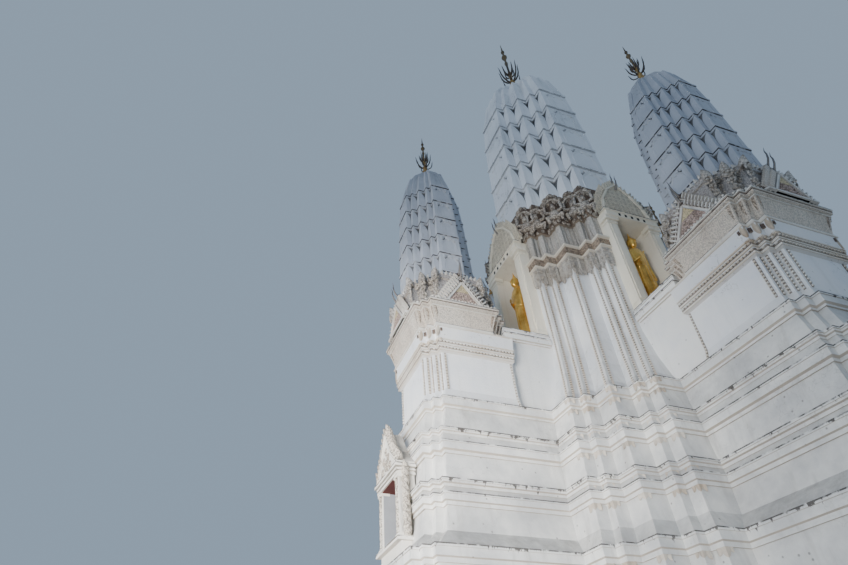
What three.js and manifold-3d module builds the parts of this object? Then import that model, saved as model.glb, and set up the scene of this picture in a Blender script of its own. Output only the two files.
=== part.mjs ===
// Five-spired prang temple as a half-scale model: a tall redented tower with four
// satellite towers on its axes, on one cross-shaped masonry base. Millimetres, +Z up,
// origin on the ground under the central spire, arms along X and Y.

import * as THREE from 'three';
import { mergeVertices } from 'three/addons/utils/BufferGeometryUtils.js';
import Module from 'manifold-3d';

const wasm = await Module();
wasm.setup();

// Plan
const ARM = 3560;                // central axis to satellite axis
const RADIAL_TRIM = 110;         // satellites are this much shallower along the arm, each side
const NECK_HALF = 650;           // half width of the walls that join satellites to the centre
const SHAFT_FOOT_HALF = 815;     // satellite half widths: foot of the shaft, top of the corbel, ledge
const CORBEL_HALF = 866;
const FRIEZE_HALF = 970;
const GAP = 0.3;                 // clearance where upright faces meet
const OVERCUT = 10;              // how far cutting solids run past the faces they open

// Distance that each projecting corner steps in from the face, from the axis face to the diagonal
// and on to the next axis face.
const TOWER_STEPS = [0, 190, 400, 745, 880];
const SATELLITE_STEPS = [0, 110, 220];
const SPIRE_STEP_SHARE = [0, 0.16, 0.33, 0.54, 0.67];   // same, as a share of the half width
const ATTIC_STEPS = [0, 180, 360];

// Levels
const PLINTH_TOP = 900;
const TERRACE_TOP = 2710;
const LOWER_BAND_TOP = 3650;
const UPPER_BAND_TOP = 4455;
const BASE_TOP = 5070;
const CORBEL_FOOT = 6020;
const FRIEZE_FOOT = 6440;
const FRIEZE_TOP = 6930;
const COPING_TOP = 6830;
const COPING_DEPTH = 250;
const SATELLITE_SPIRE_FOOT = 7700;
const SATELLITE_TIP = 13400;
const TOWER_CORNICE_FOOT = 8430;
const TOWER_CORNICE_TOP = 8660;
const FIGURES_FOOT = 9370;
const TOWER_SPIRE_FOOT = 10350;
const TOWER_TIP = 21000;

// Spires: height of each tier's cornice and the half width there, from the foot to the crown of
// leaves, then the bud that closes the top.
const TIER_RECESS = 50;
const TOWER_SPIRE = {
  tiers: [
    [TOWER_SPIRE_FOOT, 1490],
    [10740, 1485],
    [11650, 1472],
    [12570, 1453],
    [13490, 1425],
    [14420, 1382],
    [15400, 1315],
    [16620, 1190],
  ],
  bud: [[16720, 980], [17080, 800], [17420, 480], [17700, 160]],
};
const SATELLITE_SPIRE = {
  tiers: [
    [SATELLITE_SPIRE_FOOT, 745],
    [7930, 742],
    [8450, 730],
    [8980, 718],
    [9520, 703],
    [10065, 682],
    [10625, 645],
    [11300, 545],
  ],
  bud: [[11350, 455], [11560, 370], [11730, 220], [11840, 100]],
};

// Porches that open over the necks, each with a standing image
const PORCH_HALF = 620;
const PORCH_FRONT = 1900;
const LINTEL_TOP = 9380;
const NICHE_HALF = 400;
const NICHE_BACK = 1250;
const NICHE_TOP = 9200;
const PORCH_RIDGE = 10450;
const IMAGE_AXIS = 1620;
const IMAGE_HEIGHT = 2230;
const NICHE_CUT_END = 2500;

// Aedicules on the outer face of each arm
const AEDICULE_HALF = 440;
const AEDICULE_FRONT = 4700;
const AEDICULE_NICHE_HALF = 300;
const AEDICULE_NICHE_BACK = 4050;
const AEDICULE_NICHE_TOP = 3920;
const AEDICULE_SILL = 3060;
const AEDICULE_EAVE = 4050;
const AEDICULE_PEAK = 4760;
const AEDICULE_CUT_END = 4900;

const LIMEWASH = new THREE.Color(0xd9dae0);
const CREAM = new THREE.Color(0xddd6c4);
const STUCCO = new THREE.Color(0xc9c3bb);
const GILT = new THREE.Color(0xe0a828);
const DARK_METAL = new THREE.Color(0x3a3634);

function finish(colour, roughness, metalness = 0) {
  return new THREE.MeshStandardMaterial({ color: colour, roughness, metalness });
}

// Closed outline, counterclockwise, of a rectangle with stepped corners.
function steppedOutline(halfX, halfY, steps) {
  const last = steps.length - 1;
  const quadrant = [];
  for (let k = 0; k <= last; k += 1) {
    quadrant.push([halfX - steps[k], halfY - steps[last - k]]);
    if (k < last) quadrant.push([halfX - steps[k + 1], halfY - steps[last - k]]);
  }
  const mirrored = [...quadrant].reverse();
  return [
    ...quadrant,
    ...mirrored.map(([x, y]) => [-x, y]),
    ...quadrant.map(([x, y]) => [-x, -y]),
    ...mirrored.map(([x, y]) => [x, -y]),
  ];
}

// Closed outline of the cross-shaped base: four arms with stepped ends around a stepped centre.
function crossOutline(armHalf, reach, centreHalf) {
  const armEnd = SATELLITE_STEPS.length - 1;
  const centreEnd = TOWER_STEPS.length - 1;
  const half = [];
  for (let k = 0; k <= armEnd; k += 1) {
    half.push([reach - SATELLITE_STEPS[k], armHalf - SATELLITE_STEPS[armEnd - k]]);
    if (k < armEnd) half.push([reach - SATELLITE_STEPS[k + 1], armHalf - SATELLITE_STEPS[armEnd - k]]);
  }
  half.push([centreHalf, armHalf]);
  const quadrant = [...half];
  for (let k = 0; k <= centreEnd; k += 1) {
    quadrant.push([centreHalf - TOWER_STEPS[k], centreHalf - TOWER_STEPS[centreEnd - k]]);
    if (k < centreEnd) {
      quadrant.push([centreHalf - TOWER_STEPS[k + 1], centreHalf - TOWER_STEPS[centreEnd - k]]);
    }
  }
  quadrant.push(...[...half].reverse().map(([x, y]) => [y, x]));
  const outline = [];
  for (let turn = 0; turn < 4; turn += 1) {
    const c = [1, 0, -1, 0][turn];
    const s = [0, 1, 0, -1][turn];
    outline.push(...quadrant.map(([x, y]) => [c * x - s * y, s * x + c * y]));
  }
  return outline;
}

// Closed solid through outlines that all have the same number of points.
function stackOutlines(layers) {
  const count = layers[0].outline.length;
  const positions = [];
  layers.forEach(({ z, outline }) => outline.forEach(([x, y]) => positions.push(x, y, z)));
  const index = [];
  for (let level = 0; level < layers.length - 1; level += 1) {
    for (let i = 0; i < count; i += 1) {
      const a = level * count + i;
      const b = level * count + ((i + 1) % count);
      index.push(a, b, b + count, a, b + count, a + count);
    }
  }
  const cap = (level, up) => {
    const points = layers[level].outline.map(([x, y]) => new THREE.Vector2(x, y));
    THREE.ShapeUtils.triangulateShape(points, []).forEach(([a, b, c]) => {
      const offset = level * count;
      if (up) index.push(offset + a, offset + b, offset + c);
      else index.push(offset + a, offset + c, offset + b);
    });
  };
  cap(0, false);
  cap(layers.length - 1, true);
  const geometry = new THREE.BufferGeometry();
  geometry.setAttribute('position', new THREE.Float32BufferAttribute(positions, 3));
  geometry.setIndex(index);
  return geometry;
}

function block(x0, x1, y0, y1, z0, z1) {
  const geometry = new THREE.BoxGeometry(x1 - x0, y1 - y0, z1 - z0);
  geometry.translate((x0 + x1) / 2, (y0 + y1) / 2, (z0 + z1) / 2);
  return geometry;
}

// Upright prism: an outline in the Y-Z plane, extruded along X from x0 to x1.
function prismAlongX(points, x0, x1) {
  const shape = new THREE.Shape(points.map(([y, z]) => new THREE.Vector2(y, z)));
  const geometry = new THREE.ExtrudeGeometry(shape, { depth: x1 - x0, bevelEnabled: false });
  const basis = new THREE.Matrix4().makeBasis(
    new THREE.Vector3(0, 1, 0),
    new THREE.Vector3(0, 0, 1),
    new THREE.Vector3(1, 0, 0),
  );
  geometry.applyMatrix4(basis);
  geometry.translate(x0, 0, 0);
  return geometry;
}

// Wall across an arm: an outline in the X-Z plane, extruded along Y to both sides.
function prismAlongY(points, half) {
  const geometry = prismAlongX(points, -half, half);
  geometry.rotateZ(-Math.PI / 2);
  return geometry;
}

function turned(profile, segments) {
  const points = profile.map(([radius, z]) => new THREE.Vector2(radius, z));
  const geometry = new THREE.LatheGeometry(points, segments);
  geometry.rotateX(Math.PI / 2);
  return geometry;
}

function toSolid(geometry) {
  const bare = geometry.clone();
  bare.deleteAttribute('normal');
  bare.deleteAttribute('uv');
  const merged = mergeVertices(bare, 0.01);
  return new wasm.Manifold(new wasm.Mesh({
    numProp: 3,
    vertProperties: new Float32Array(merged.attributes.position.array),
    triVerts: new Uint32Array(merged.index.array),
  }));
}

function toGeometry(solid) {
  const mesh = solid.getMesh();
  const geometry = new THREE.BufferGeometry();
  geometry.setAttribute('position', new THREE.BufferAttribute(new Float32Array(mesh.vertProperties), 3));
  geometry.setIndex(new THREE.BufferAttribute(new Uint32Array(mesh.triVerts), 1));
  return geometry;
}

function joinAndCut(added, removed = []) {
  let solid = toSolid(added[0]);
  added.slice(1).forEach((geometry) => { solid = solid.add(toSolid(geometry)); });
  removed.forEach((geometry) => { solid = solid.subtract(toSolid(geometry)); });
  return toGeometry(solid);
}

const temple = new THREE.Group();
const arms = ['east', 'north', 'west', 'south'].map((side, turn) => {
  const arm = new THREE.Group();
  arm.rotation.z = (turn * Math.PI) / 2;
  temple.add(arm);
  return { side, arm };
});

function place(parent, name, geometry, material, x = 0) {
  const mesh = new THREE.Mesh(geometry, material);
  mesh.name = name;
  mesh.position.set(x, 0, 0);
  parent.add(mesh);
}

function placeOnArms(name, geometry, material, x = 0) {
  arms.forEach(({ side, arm }) => place(arm, `${name}_${side}`, geometry, material, x));
}

// The stepped base courses. Each level gives its height, the half width of the arms and the half
// width of the centre; the arms' ends stand out by the same profile.
const COURSES = {
  plinth: [
    [0, 1640, 2900],
    [280, 1640, 2900],
    [310, 1560, 2820],
    [PLINTH_TOP, 1560, 2820],
  ],
  terrace: [
    [PLINTH_TOP, 1480, 2740],
    [1750, 1420, 2680],
    [2540, 1370, 2630],
    [2570, 1420, 2680],
    [TERRACE_TOP, 1420, 2680],
  ],
  lower_band: [
    [TERRACE_TOP, 1340, 2600],
    [2960, 1110, 2480],
    [3340, 1040, 2440],
    [3360, 1100, 2490],
    [3470, 1100, 2490],
    [3570, 1055, 2450],
    [3590, 1112, 2490],
    [LOWER_BAND_TOP, 1112, 2490],
  ],
  upper_band: [
    [LOWER_BAND_TOP, 1010, 2400],
    [4090, 960, 2340],
    [4120, 1022, 2390],
    [4250, 1022, 2390],
    [4380, 980, 2340],
    [4400, 1015, 2370],
    [UPPER_BAND_TOP, 1015, 2370],
  ],
  torus: [
    [UPPER_BAND_TOP, 940, 2290],
    [4880, 830, 2190],
    [4920, 880, 2230],
    [BASE_TOP, 870, 2220],
  ],
};

function addCourses(material) {
  Object.entries(COURSES).forEach(([name, levels]) => {
    const layers = levels.map(([z, armHalf, centreHalf]) => ({
      z,
      outline: crossOutline(armHalf, ARM + armHalf - RADIAL_TRIM, centreHalf),
    }));
    const niches = [0, 1, 2, 3].map((turn) => {
      const niche = block(AEDICULE_NICHE_BACK, AEDICULE_CUT_END, -AEDICULE_NICHE_HALF,
        AEDICULE_NICHE_HALF, AEDICULE_SILL, AEDICULE_NICHE_TOP);
      return niche.rotateZ((turn * Math.PI) / 2);
    });
    place(temple, `base_${name}`, joinAndCut([stackOutlines(layers)], niches), material);
  });
}

function satelliteStack(levels, steps) {
  return stackOutlines(levels.map(([z, half]) => ({
    z,
    outline: steppedOutline(half - RADIAL_TRIM, half, steps),
  })));
}

// Satellite shaft with its flared foot, dentil course and plain corbel.
function satelliteBody() {
  return satelliteStack([
    [BASE_TOP, SHAFT_FOOT_HALF],
    [5250, 780],
    [CORBEL_FOOT - 80, 775],
    [CORBEL_FOOT - 60, 812],
    [CORBEL_FOOT + 130, 840],
    [FRIEZE_FOOT, CORBEL_HALF],
  ], SATELLITE_STEPS);
}

// Flared frieze under a thin ledge.
function satelliteFrieze() {
  return satelliteStack([
    [FRIEZE_FOOT, 842],
    [FRIEZE_TOP - 110, 930],
    [FRIEZE_TOP - 80, 972],
    [FRIEZE_TOP, FRIEZE_HALF],
  ], SATELLITE_STEPS);
}

// Attic block with a gable standing on each of its four faces.
function satelliteAttic() {
  const half = 830;
  const topHalf = 790;
  const gableHalf = 440;
  const gableReach = 95;
  const gablePeak = SATELLITE_SPIRE_FOOT - 130;
  const core = stackOutlines([
    { z: FRIEZE_TOP, outline: steppedOutline(half - 40, half, ATTIC_STEPS) },
    { z: SATELLITE_SPIRE_FOOT - 110, outline: steppedOutline(topHalf - 40, topHalf, ATTIC_STEPS) },
    { z: SATELLITE_SPIRE_FOOT - 90, outline: steppedOutline(topHalf - 10, topHalf + 30, ATTIC_STEPS) },
    { z: SATELLITE_SPIRE_FOOT, outline: steppedOutline(topHalf - 10, topHalf + 30, ATTIC_STEPS) },
  ]);
  const gable = [[-gableHalf, FRIEZE_TOP], [gableHalf, FRIEZE_TOP], [gableHalf * 0.86, FRIEZE_TOP + 120],
    [0, gablePeak], [-gableHalf * 0.86, FRIEZE_TOP + 120]];
  const acrossArm = prismAlongX(gable, -(half - 40 + gableReach), half - 40 + gableReach);
  const alongArm = prismAlongX(gable, -(half + gableReach), half + gableReach);
  alongArm.rotateZ(Math.PI / 2);
  return joinAndCut([core, acrossArm, alongArm]);
}

// Bullet-shaped spire: each tier starts recessed behind the cornice below it.
function spire({ tiers, bud }) {
  const layer = (z, half) => ({
    z,
    outline: steppedOutline(half, half, SPIRE_STEP_SHARE.map((share) => share * half)),
  });
  const layers = [];
  for (let k = 0; k < tiers.length - 1; k += 1) {
    const [foot, footHalf] = tiers[k];
    const [head, headHalf] = tiers[k + 1];
    layers.push(layer(foot, footHalf - TIER_RECESS));
    layers.push(layer(head - 1, headHalf));
  }
  bud.forEach(([z, half]) => layers.push(layer(z, half)));
  return stackOutlines(layers);
}

// Trident finial: a beaded spear with two crossed rows of upturned prongs. Heights are shares of
// the whole; the crown is the share that the prongs reach up to.
function finial(foot, tip, reach, crown) {
  const rise = tip - foot;
  const spear = turned([
    [0, 0],
    [0.3, 0],
    [0.12, crown * 0.3],
    [0.24, crown * 0.52],
    [0.1, crown * 0.7],
    [0.09, 0.64],
    [0.18, 0.7],
    [0.06, 0.76],
    [0.13, 0.82],
    [0.05, 0.87],
    [0, 1],
  ].map(([radius, level]) => [radius * reach, foot + rise * level]), 6);
  const bar = reach * 0.06;
  const section = new THREE.Shape([
    new THREE.Vector2(-bar, -bar),
    new THREE.Vector2(bar, -bar),
    new THREE.Vector2(bar, bar),
    new THREE.Vector2(-bar, bar),
  ]);
  const prongs = [];
  [[0.3, 1, 0.7], [0.5, 0.6, 1]].forEach(([start, out, end]) => {
    for (let side = 0; side < 4; side += 1) {
      const path = new THREE.CatmullRomCurve3([
        new THREE.Vector3(0, 0, foot + rise * crown * start),
        new THREE.Vector3(reach * out * 0.7, 0, foot + rise * crown * (start + 0.06)),
        new THREE.Vector3(reach * out, 0, foot + rise * crown * end),
      ]);
      const prong = new THREE.ExtrudeGeometry(section, { steps: 3, extrudePath: path });
      prong.rotateZ((side * Math.PI) / 2);
      prongs.push(prong);
    }
  });
  return joinAndCut([spear, ...prongs]);
}

// Half width of the central shaft at each level: a flared foot below an upright body.
const SHAFT_PROFILE = [
  [BASE_TOP, 2080],
  [5350, 1950],
  [5800, 1830],
  [6400, 1735],
  [COPING_TOP, 1700],
  [TOWER_CORNICE_FOOT, 1700],
];

const TOWER_CORNICE = [
  [TOWER_CORNICE_FOOT, 1705],
  [TOWER_CORNICE_FOOT + 60, 1745],
  [TOWER_CORNICE_TOP, 1765],
];
const TOWER_FRIEZE = [
  [TOWER_CORNICE_TOP, 1640],
  [FIGURES_FOOT, 1670],
];
const TOWER_FIGURES = [
  [FIGURES_FOOT, 1730],
  [FIGURES_FOOT + 500, 1760],
  [TOWER_SPIRE_FOOT, 1700],
];

function towerStage(levels) {
  return stackOutlines(levels.map(([z, half]) => ({
    z,
    outline: steppedOutline(half, half, TOWER_STEPS),
  })));
}

const towerNiches = () => [0, 1, 2, 3].map((turn) => {
  const niche = block(NICHE_BACK, NICHE_CUT_END, -NICHE_HALF, NICHE_HALF, COPING_TOP, NICHE_TOP);
  return niche.rotateZ((turn * Math.PI) / 2);
});

// Stages of the central tower that the four niches run through.
function nichedStage(levels) {
  return joinAndCut([towerStage(levels)], towerNiches());
}

// Wall between a satellite and the central tower, with a projecting coping in two courses.
function neck() {
  const towerFace = SHAFT_PROFILE.filter(([z]) => z <= COPING_TOP).map(([z, half]) => [half + GAP, z]);
  const faceOf = (half) => ARM - (half - RADIAL_TRIM) - GAP;
  const ledgeFoot = COPING_TOP - COPING_DEPTH;
  const courseFoot = COPING_TOP - COPING_DEPTH / 2;
  const ledgeStart = towerFace.at(-1)[0] + 40;
  const wall = prismAlongY([
    ...towerFace,
    [faceOf(FRIEZE_HALF), COPING_TOP],
    [faceOf(FRIEZE_HALF), FRIEZE_FOOT],
    [faceOf(CORBEL_HALF), FRIEZE_FOOT],
    [faceOf(CORBEL_HALF), CORBEL_FOOT - 80],
    [faceOf(SHAFT_FOOT_HALF), CORBEL_FOOT - 80],
    [faceOf(SHAFT_FOOT_HALF), BASE_TOP],
  ], NECK_HALF);
  return joinAndCut([
    wall,
    block(ledgeStart, faceOf(FRIEZE_HALF), -NECK_HALF - 60, NECK_HALF + 60, ledgeFoot, courseFoot),
    block(ledgeStart, faceOf(FRIEZE_HALF), -NECK_HALF - 25, NECK_HALF + 25, courseFoot, COPING_TOP),
  ]);
}

// Porch in front of the niche: two jambs and a lintel that stand against the stages of the tower,
// with a steep carved pediment above.
function porch() {
  const shaftFace = SHAFT_PROFILE[5][1] + GAP;
  const corniceFace = TOWER_CORNICE[2][1] + GAP;
  const friezeFace = TOWER_FRIEZE[1][1] + GAP;
  const figureFace = TOWER_FIGURES[1][1] + GAP;
  const spireFace = TOWER_SPIRE.tiers[0][1] + GAP;
  const front = PORCH_FRONT;
  const lintelFront = PORCH_FRONT + 60;
  const pedimentFront = PORCH_FRONT - 40;
  const sideView = [
    [shaftFace, COPING_TOP],
    [front, COPING_TOP],
    [front, NICHE_TOP],
    [lintelFront, NICHE_TOP],
    [lintelFront, LINTEL_TOP],
    [pedimentFront, LINTEL_TOP],
    [pedimentFront, PORCH_RIDGE],
    [spireFace, PORCH_RIDGE],
    [spireFace, TOWER_SPIRE_FOOT + GAP],
    [figureFace, TOWER_SPIRE_FOOT + GAP],
    [figureFace, FIGURES_FOOT - GAP],
    [friezeFace, FIGURES_FOOT - GAP],
    [friezeFace, TOWER_CORNICE_TOP + GAP],
    [corniceFace, TOWER_CORNICE_TOP + GAP],
    [corniceFace, TOWER_CORNICE_FOOT - GAP],
    [shaftFace, TOWER_CORNICE_FOOT - GAP],
  ];
  const wall = prismAlongY(sideView, PORCH_HALF);
  const shoulder = (sign) => prismAlongX([
    [sign * PORCH_HALF, LINTEL_TOP],
    [sign * (PORCH_HALF + OVERCUT), LINTEL_TOP],
    [sign * (PORCH_HALF + OVERCUT), PORCH_RIDGE + OVERCUT],
    [0, PORCH_RIDGE + OVERCUT],
    [0, PORCH_RIDGE],
    [sign * PORCH_HALF * 0.5, PORCH_RIDGE - 260],
    [sign * PORCH_HALF * 0.85, PORCH_RIDGE - 650],
  ], spireFace - OVERCUT, lintelFront + OVERCUT);
  const niche = block(NICHE_BACK, NICHE_CUT_END, -NICHE_HALF, NICHE_HALF,
    COPING_TOP - OVERCUT, NICHE_TOP);
  return joinAndCut([wall], [niche, shoulder(1), shoulder(-1)]);
}

// Standing robed image with a flame on its head, on a low round pedestal.
function standingImage() {
  const sides = 8;
  const ring = (share, halfWide, halfDeep) => ({
    z: COPING_TOP + IMAGE_HEIGHT * share,
    outline: Array.from({ length: sides }, (_, i) => {
      const angle = (i * 2 * Math.PI) / sides;
      return [halfDeep * Math.cos(angle), halfWide * Math.sin(angle)];
    }),
  });
  return stackOutlines([
    ring(0, 230, 170),
    ring(0.05, 230, 170),
    ring(0.055, 190, 120),
    ring(0.3, 170, 105),
    ring(0.55, 150, 95),
    ring(0.62, 165, 95),
    ring(0.76, 195, 90),
    ring(0.79, 150, 75),
    ring(0.805, 52, 52),
    ring(0.83, 78, 84),
    ring(0.88, 88, 98),
    ring(0.925, 60, 66),
    ring(0.95, 34, 36),
    ring(1, 6, 6),
  ]);
}

// Shrine front on the outer face of an arm: jambs, eave and gable round an open niche.
function aedicule() {
  const lowerFace = ARM + COURSES.lower_band[6][1] - RADIAL_TRIM + GAP;
  const upperFace = ARM + COURSES.upper_band[2][1] - RADIAL_TRIM + GAP;
  const [slopeFoot, slopeHead] = COURSES.lower_band;
  const slopeAt = (x) => {
    const share = (x - (ARM + slopeHead[1] - RADIAL_TRIM)) / (slopeFoot[1] - slopeHead[1]);
    return slopeHead[0] + (slopeFoot[0] - slopeHead[0]) * share + 1;
  };
  const side = [
    [lowerFace, slopeAt(lowerFace)],
    [AEDICULE_FRONT, slopeAt(AEDICULE_FRONT)],
    [AEDICULE_FRONT, AEDICULE_EAVE],
    [upperFace, AEDICULE_EAVE],
    [upperFace, LOWER_BAND_TOP + GAP],
    [lowerFace, LOWER_BAND_TOP + GAP],
  ];
  const gable = [
    [-AEDICULE_HALF - 40, AEDICULE_EAVE], [AEDICULE_HALF + 40, AEDICULE_EAVE],
    [AEDICULE_HALF + 40, AEDICULE_EAVE + 60], [AEDICULE_HALF * 0.5, AEDICULE_EAVE + 330],
    [0, AEDICULE_PEAK],
    [-AEDICULE_HALF * 0.5, AEDICULE_EAVE + 330], [-AEDICULE_HALF - 40, AEDICULE_EAVE + 60],
  ];
  return joinAndCut([
    prismAlongY(side, AEDICULE_HALF),
    prismAlongX(gable, upperFace, AEDICULE_FRONT + 40),
  ], [block(AEDICULE_NICHE_BACK, AEDICULE_CUT_END, -AEDICULE_NICHE_HALF, AEDICULE_NICHE_HALF,
    AEDICULE_SILL, AEDICULE_NICHE_TOP)]);
}

addCourses(finish(LIMEWASH, 0.9));
place(temple, 'tower_shaft', nichedStage(SHAFT_PROFILE), finish(LIMEWASH, 0.9));
place(temple, 'tower_cornice', nichedStage(TOWER_CORNICE), finish(STUCCO, 0.95));
place(temple, 'tower_frieze', nichedStage(TOWER_FRIEZE), finish(STUCCO, 0.95));
place(temple, 'tower_figures', towerStage(TOWER_FIGURES), finish(STUCCO, 0.95));
place(temple, 'tower_spire', spire(TOWER_SPIRE), finish(LIMEWASH, 0.85));
place(temple, 'tower_finial', finial(TOWER_SPIRE.bud.at(-1)[0], TOWER_TIP, 440, 0.62),
  finish(DARK_METAL, 0.5, 0.8));
placeOnArms('satellite_body', satelliteBody(), finish(LIMEWASH, 0.9), ARM);
placeOnArms('satellite_frieze', satelliteFrieze(), finish(CREAM, 0.95), ARM);
placeOnArms('satellite_attic', satelliteAttic(), finish(STUCCO, 0.95), ARM);
placeOnArms('satellite_spire', spire(SATELLITE_SPIRE), finish(LIMEWASH, 0.85), ARM);
placeOnArms('satellite_finial', finial(SATELLITE_SPIRE.bud.at(-1)[0], SATELLITE_TIP, 240, 0.42),
  finish(DARK_METAL, 0.5, 0.8), ARM);
placeOnArms('neck', neck(), finish(LIMEWASH, 0.9));
placeOnArms('porch', porch(), finish(CREAM, 0.9));
placeOnArms('image', standingImage(), finish(GILT, 0.35, 0.9), IMAGE_AXIS);
placeOnArms('aedicule', aedicule(), finish(STUCCO, 0.95));

export default temple;
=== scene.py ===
import math
import random

import bmesh
import bpy
from mathutils import Matrix, Vector


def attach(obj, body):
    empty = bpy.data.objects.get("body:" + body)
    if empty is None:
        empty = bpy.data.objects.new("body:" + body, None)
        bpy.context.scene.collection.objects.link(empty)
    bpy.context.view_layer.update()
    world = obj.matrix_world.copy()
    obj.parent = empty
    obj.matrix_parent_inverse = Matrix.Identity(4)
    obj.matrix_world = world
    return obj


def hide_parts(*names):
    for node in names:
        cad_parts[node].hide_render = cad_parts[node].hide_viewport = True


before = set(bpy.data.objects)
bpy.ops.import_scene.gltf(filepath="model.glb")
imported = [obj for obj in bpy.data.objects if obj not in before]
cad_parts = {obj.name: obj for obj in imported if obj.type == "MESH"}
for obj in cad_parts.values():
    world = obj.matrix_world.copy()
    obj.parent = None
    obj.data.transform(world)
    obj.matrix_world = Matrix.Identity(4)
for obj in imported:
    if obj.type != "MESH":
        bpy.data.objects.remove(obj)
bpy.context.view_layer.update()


# The stepped base: five courses of brick and laterite under lime render, limewashed white, with
# thin mouldings run in render over and under every course. Rain has left black drips below the
# edges and soot on the ledges, and small stucco brackets stand on the corners round the tower.

SIDES = ("east", "north", "west", "south")
ARM = 3.56
RADIAL_TRIM = 0.11
SHAFT_STEPS = (0.0, 0.11, 0.22)
TOWER_STEPS = (0.0, 0.19, 0.40, 0.745, 0.88)
COURSE_BED = 0.03
SHRINE_SIDE = 0.42


def add_node(tree, kind, inputs=None, **settings):
    made = tree.nodes.new(kind)
    for setting, value in settings.items():
        setattr(made, setting, value)
    for socket, value in (inputs or {}).items():
        if isinstance(value, bpy.types.NodeSocket):
            tree.links.new(value, made.inputs[socket])
        else:
            made.inputs[socket].default_value = value
    return made


def start_effect(name, inputs):
    """Begins a node group, and gives its inputs and the point on the piece that it colours."""
    effect = bpy.data.node_groups.new(name, "ShaderNodeTree")
    for label, value in inputs.items():
        socket = effect.interface.new_socket(label, in_out="INPUT", socket_type="NodeSocketFloat")
        socket.default_value = value
    given = effect.nodes.new("NodeGroupInput").outputs
    return effect, given, effect.nodes.new("ShaderNodeTexCoord").outputs["Object"]


def finish_effect(effect, **masks):
    """Ends a node group with the masks that it gives."""
    for label in masks:
        effect.interface.new_socket(label, in_out="OUTPUT", socket_type="NodeSocketFloat")
    result = effect.nodes.new("NodeGroupOutput")
    for label, value in masks.items():
        effect.links.new(value, result.inputs[label])
    return effect


def math_node(tree, operation, first, second=0.0, third=0.0, clamp=False):
    return add_node(tree, "ShaderNodeMath", {0: first, 1: second, 2: third},
                    operation=operation, use_clamp=clamp).outputs[0]


def noise_node(tree, place, scale, detail, roughness=0.5, output="Fac"):
    return add_node(tree, "ShaderNodeTexNoise", {
        "Vector": place, "Scale": scale, "Detail": detail, "Roughness": roughness}).outputs[output]


def ramp(tree, value, low, high):
    """Nought below one value, one above the other."""
    return add_node(tree, "ShaderNodeMapRange", {
        "Value": value, "From Min": low, "From Max": high}).outputs[0]


def squeezed(tree, place, factor):
    """The point with its height drawn together, so that a pattern runs down the wall."""
    return add_node(tree, "ShaderNodeMapping", {
        "Vector": place, "Scale": (1.0, 1.0, factor)}).outputs[0]


def axis_part(tree, vector, axis="Z"):
    return add_node(tree, "ShaderNodeSeparateXYZ", {"Vector": vector}).outputs[axis]


def render_mottle_effect():
    """Broad clouding of old limewash coats, and the fine grain of lime render."""
    effect, given, place = start_effect("render_mottle", {"Cloud Size": 1.2, "Grain Size": 30.0})
    return finish_effect(effect, Cloud=noise_node(effect, place, given["Cloud Size"], 6.0, 0.62),
                         Grain=noise_node(effect, place, given["Grain Size"], 4.0, 0.7))


def rain_streak_effect():
    """Long thin marks that run straight down a wall."""
    effect, given, place = start_effect("rain_streaks", {"Width": 9.0, "Cover": 0.5})
    noise = noise_node(effect, squeezed(effect, place, 0.07), given["Width"], 5.0, 0.7)
    edge = math_node(effect, "SUBTRACT", 1.0, given["Cover"])
    above = math_node(effect, "SUBTRACT", noise, edge)
    return finish_effect(effect, Mask=math_node(effect, "MULTIPLY", above, 4.0, clamp=True))


def edge_drip_and_shade_line_effect():
    """Black drips below an edge and a patchy dark line under it; used as painted shade on spires.
    """
    effect, given, place = start_effect("edge_drips_and_shade_lines", {"Level": 1.0, "Reach": 0.1, "Line": 0.02})
    noise = noise_node(effect, squeezed(effect, place, 0.15), 10.0, 5.0, 0.75)
    depth = math_node(effect, "SUBTRACT", given["Level"], axis_part(effect, place))
    length = math_node(effect, "MULTIPLY", ramp(effect, noise, 0.50, 0.78), given["Reach"])
    left = math_node(effect, "SUBTRACT", length, depth)
    run = math_node(effect, "MULTIPLY", left, 60.0, clamp=True)
    patch = ramp(effect, noise_node(effect, place, 7.0, 5.0), 0.38, 0.50)
    near = math_node(effect, "LESS_THAN", depth, given["Line"])
    both = math_node(effect, "MAXIMUM", run, math_node(effect, "MULTIPLY", near, patch))
    under = math_node(effect, "GREATER_THAN", depth, -0.004)
    return finish_effect(effect, Mask=math_node(effect, "MULTIPLY", both, under, clamp=True))


def ledge_soot_and_underside_shade_effect():
    """Dark dust on faces turned to the sky, and painted shade on faces turned down."""
    effect, given, place = start_effect("ledge_soot_and_underside_shade", {"Cover": 0.5})
    upward = axis_part(effect, effect.nodes.new("ShaderNodeNewGeometry").outputs["Normal"])
    steep = math_node(effect, "MULTIPLY", upward, 1.4, clamp=True)
    amount = math_node(effect, "MULTIPLY", steep, given["Cover"])
    patchy = math_node(effect, "MULTIPLY", noise_node(effect, place, 5.0, 6.0, 0.7), 1.8)
    return finish_effect(effect, Soot=math_node(effect, "MULTIPLY", amount, patchy, clamp=True),
                         Underside=math_node(effect, "MULTIPLY", upward, -1.8, clamp=True))


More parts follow.
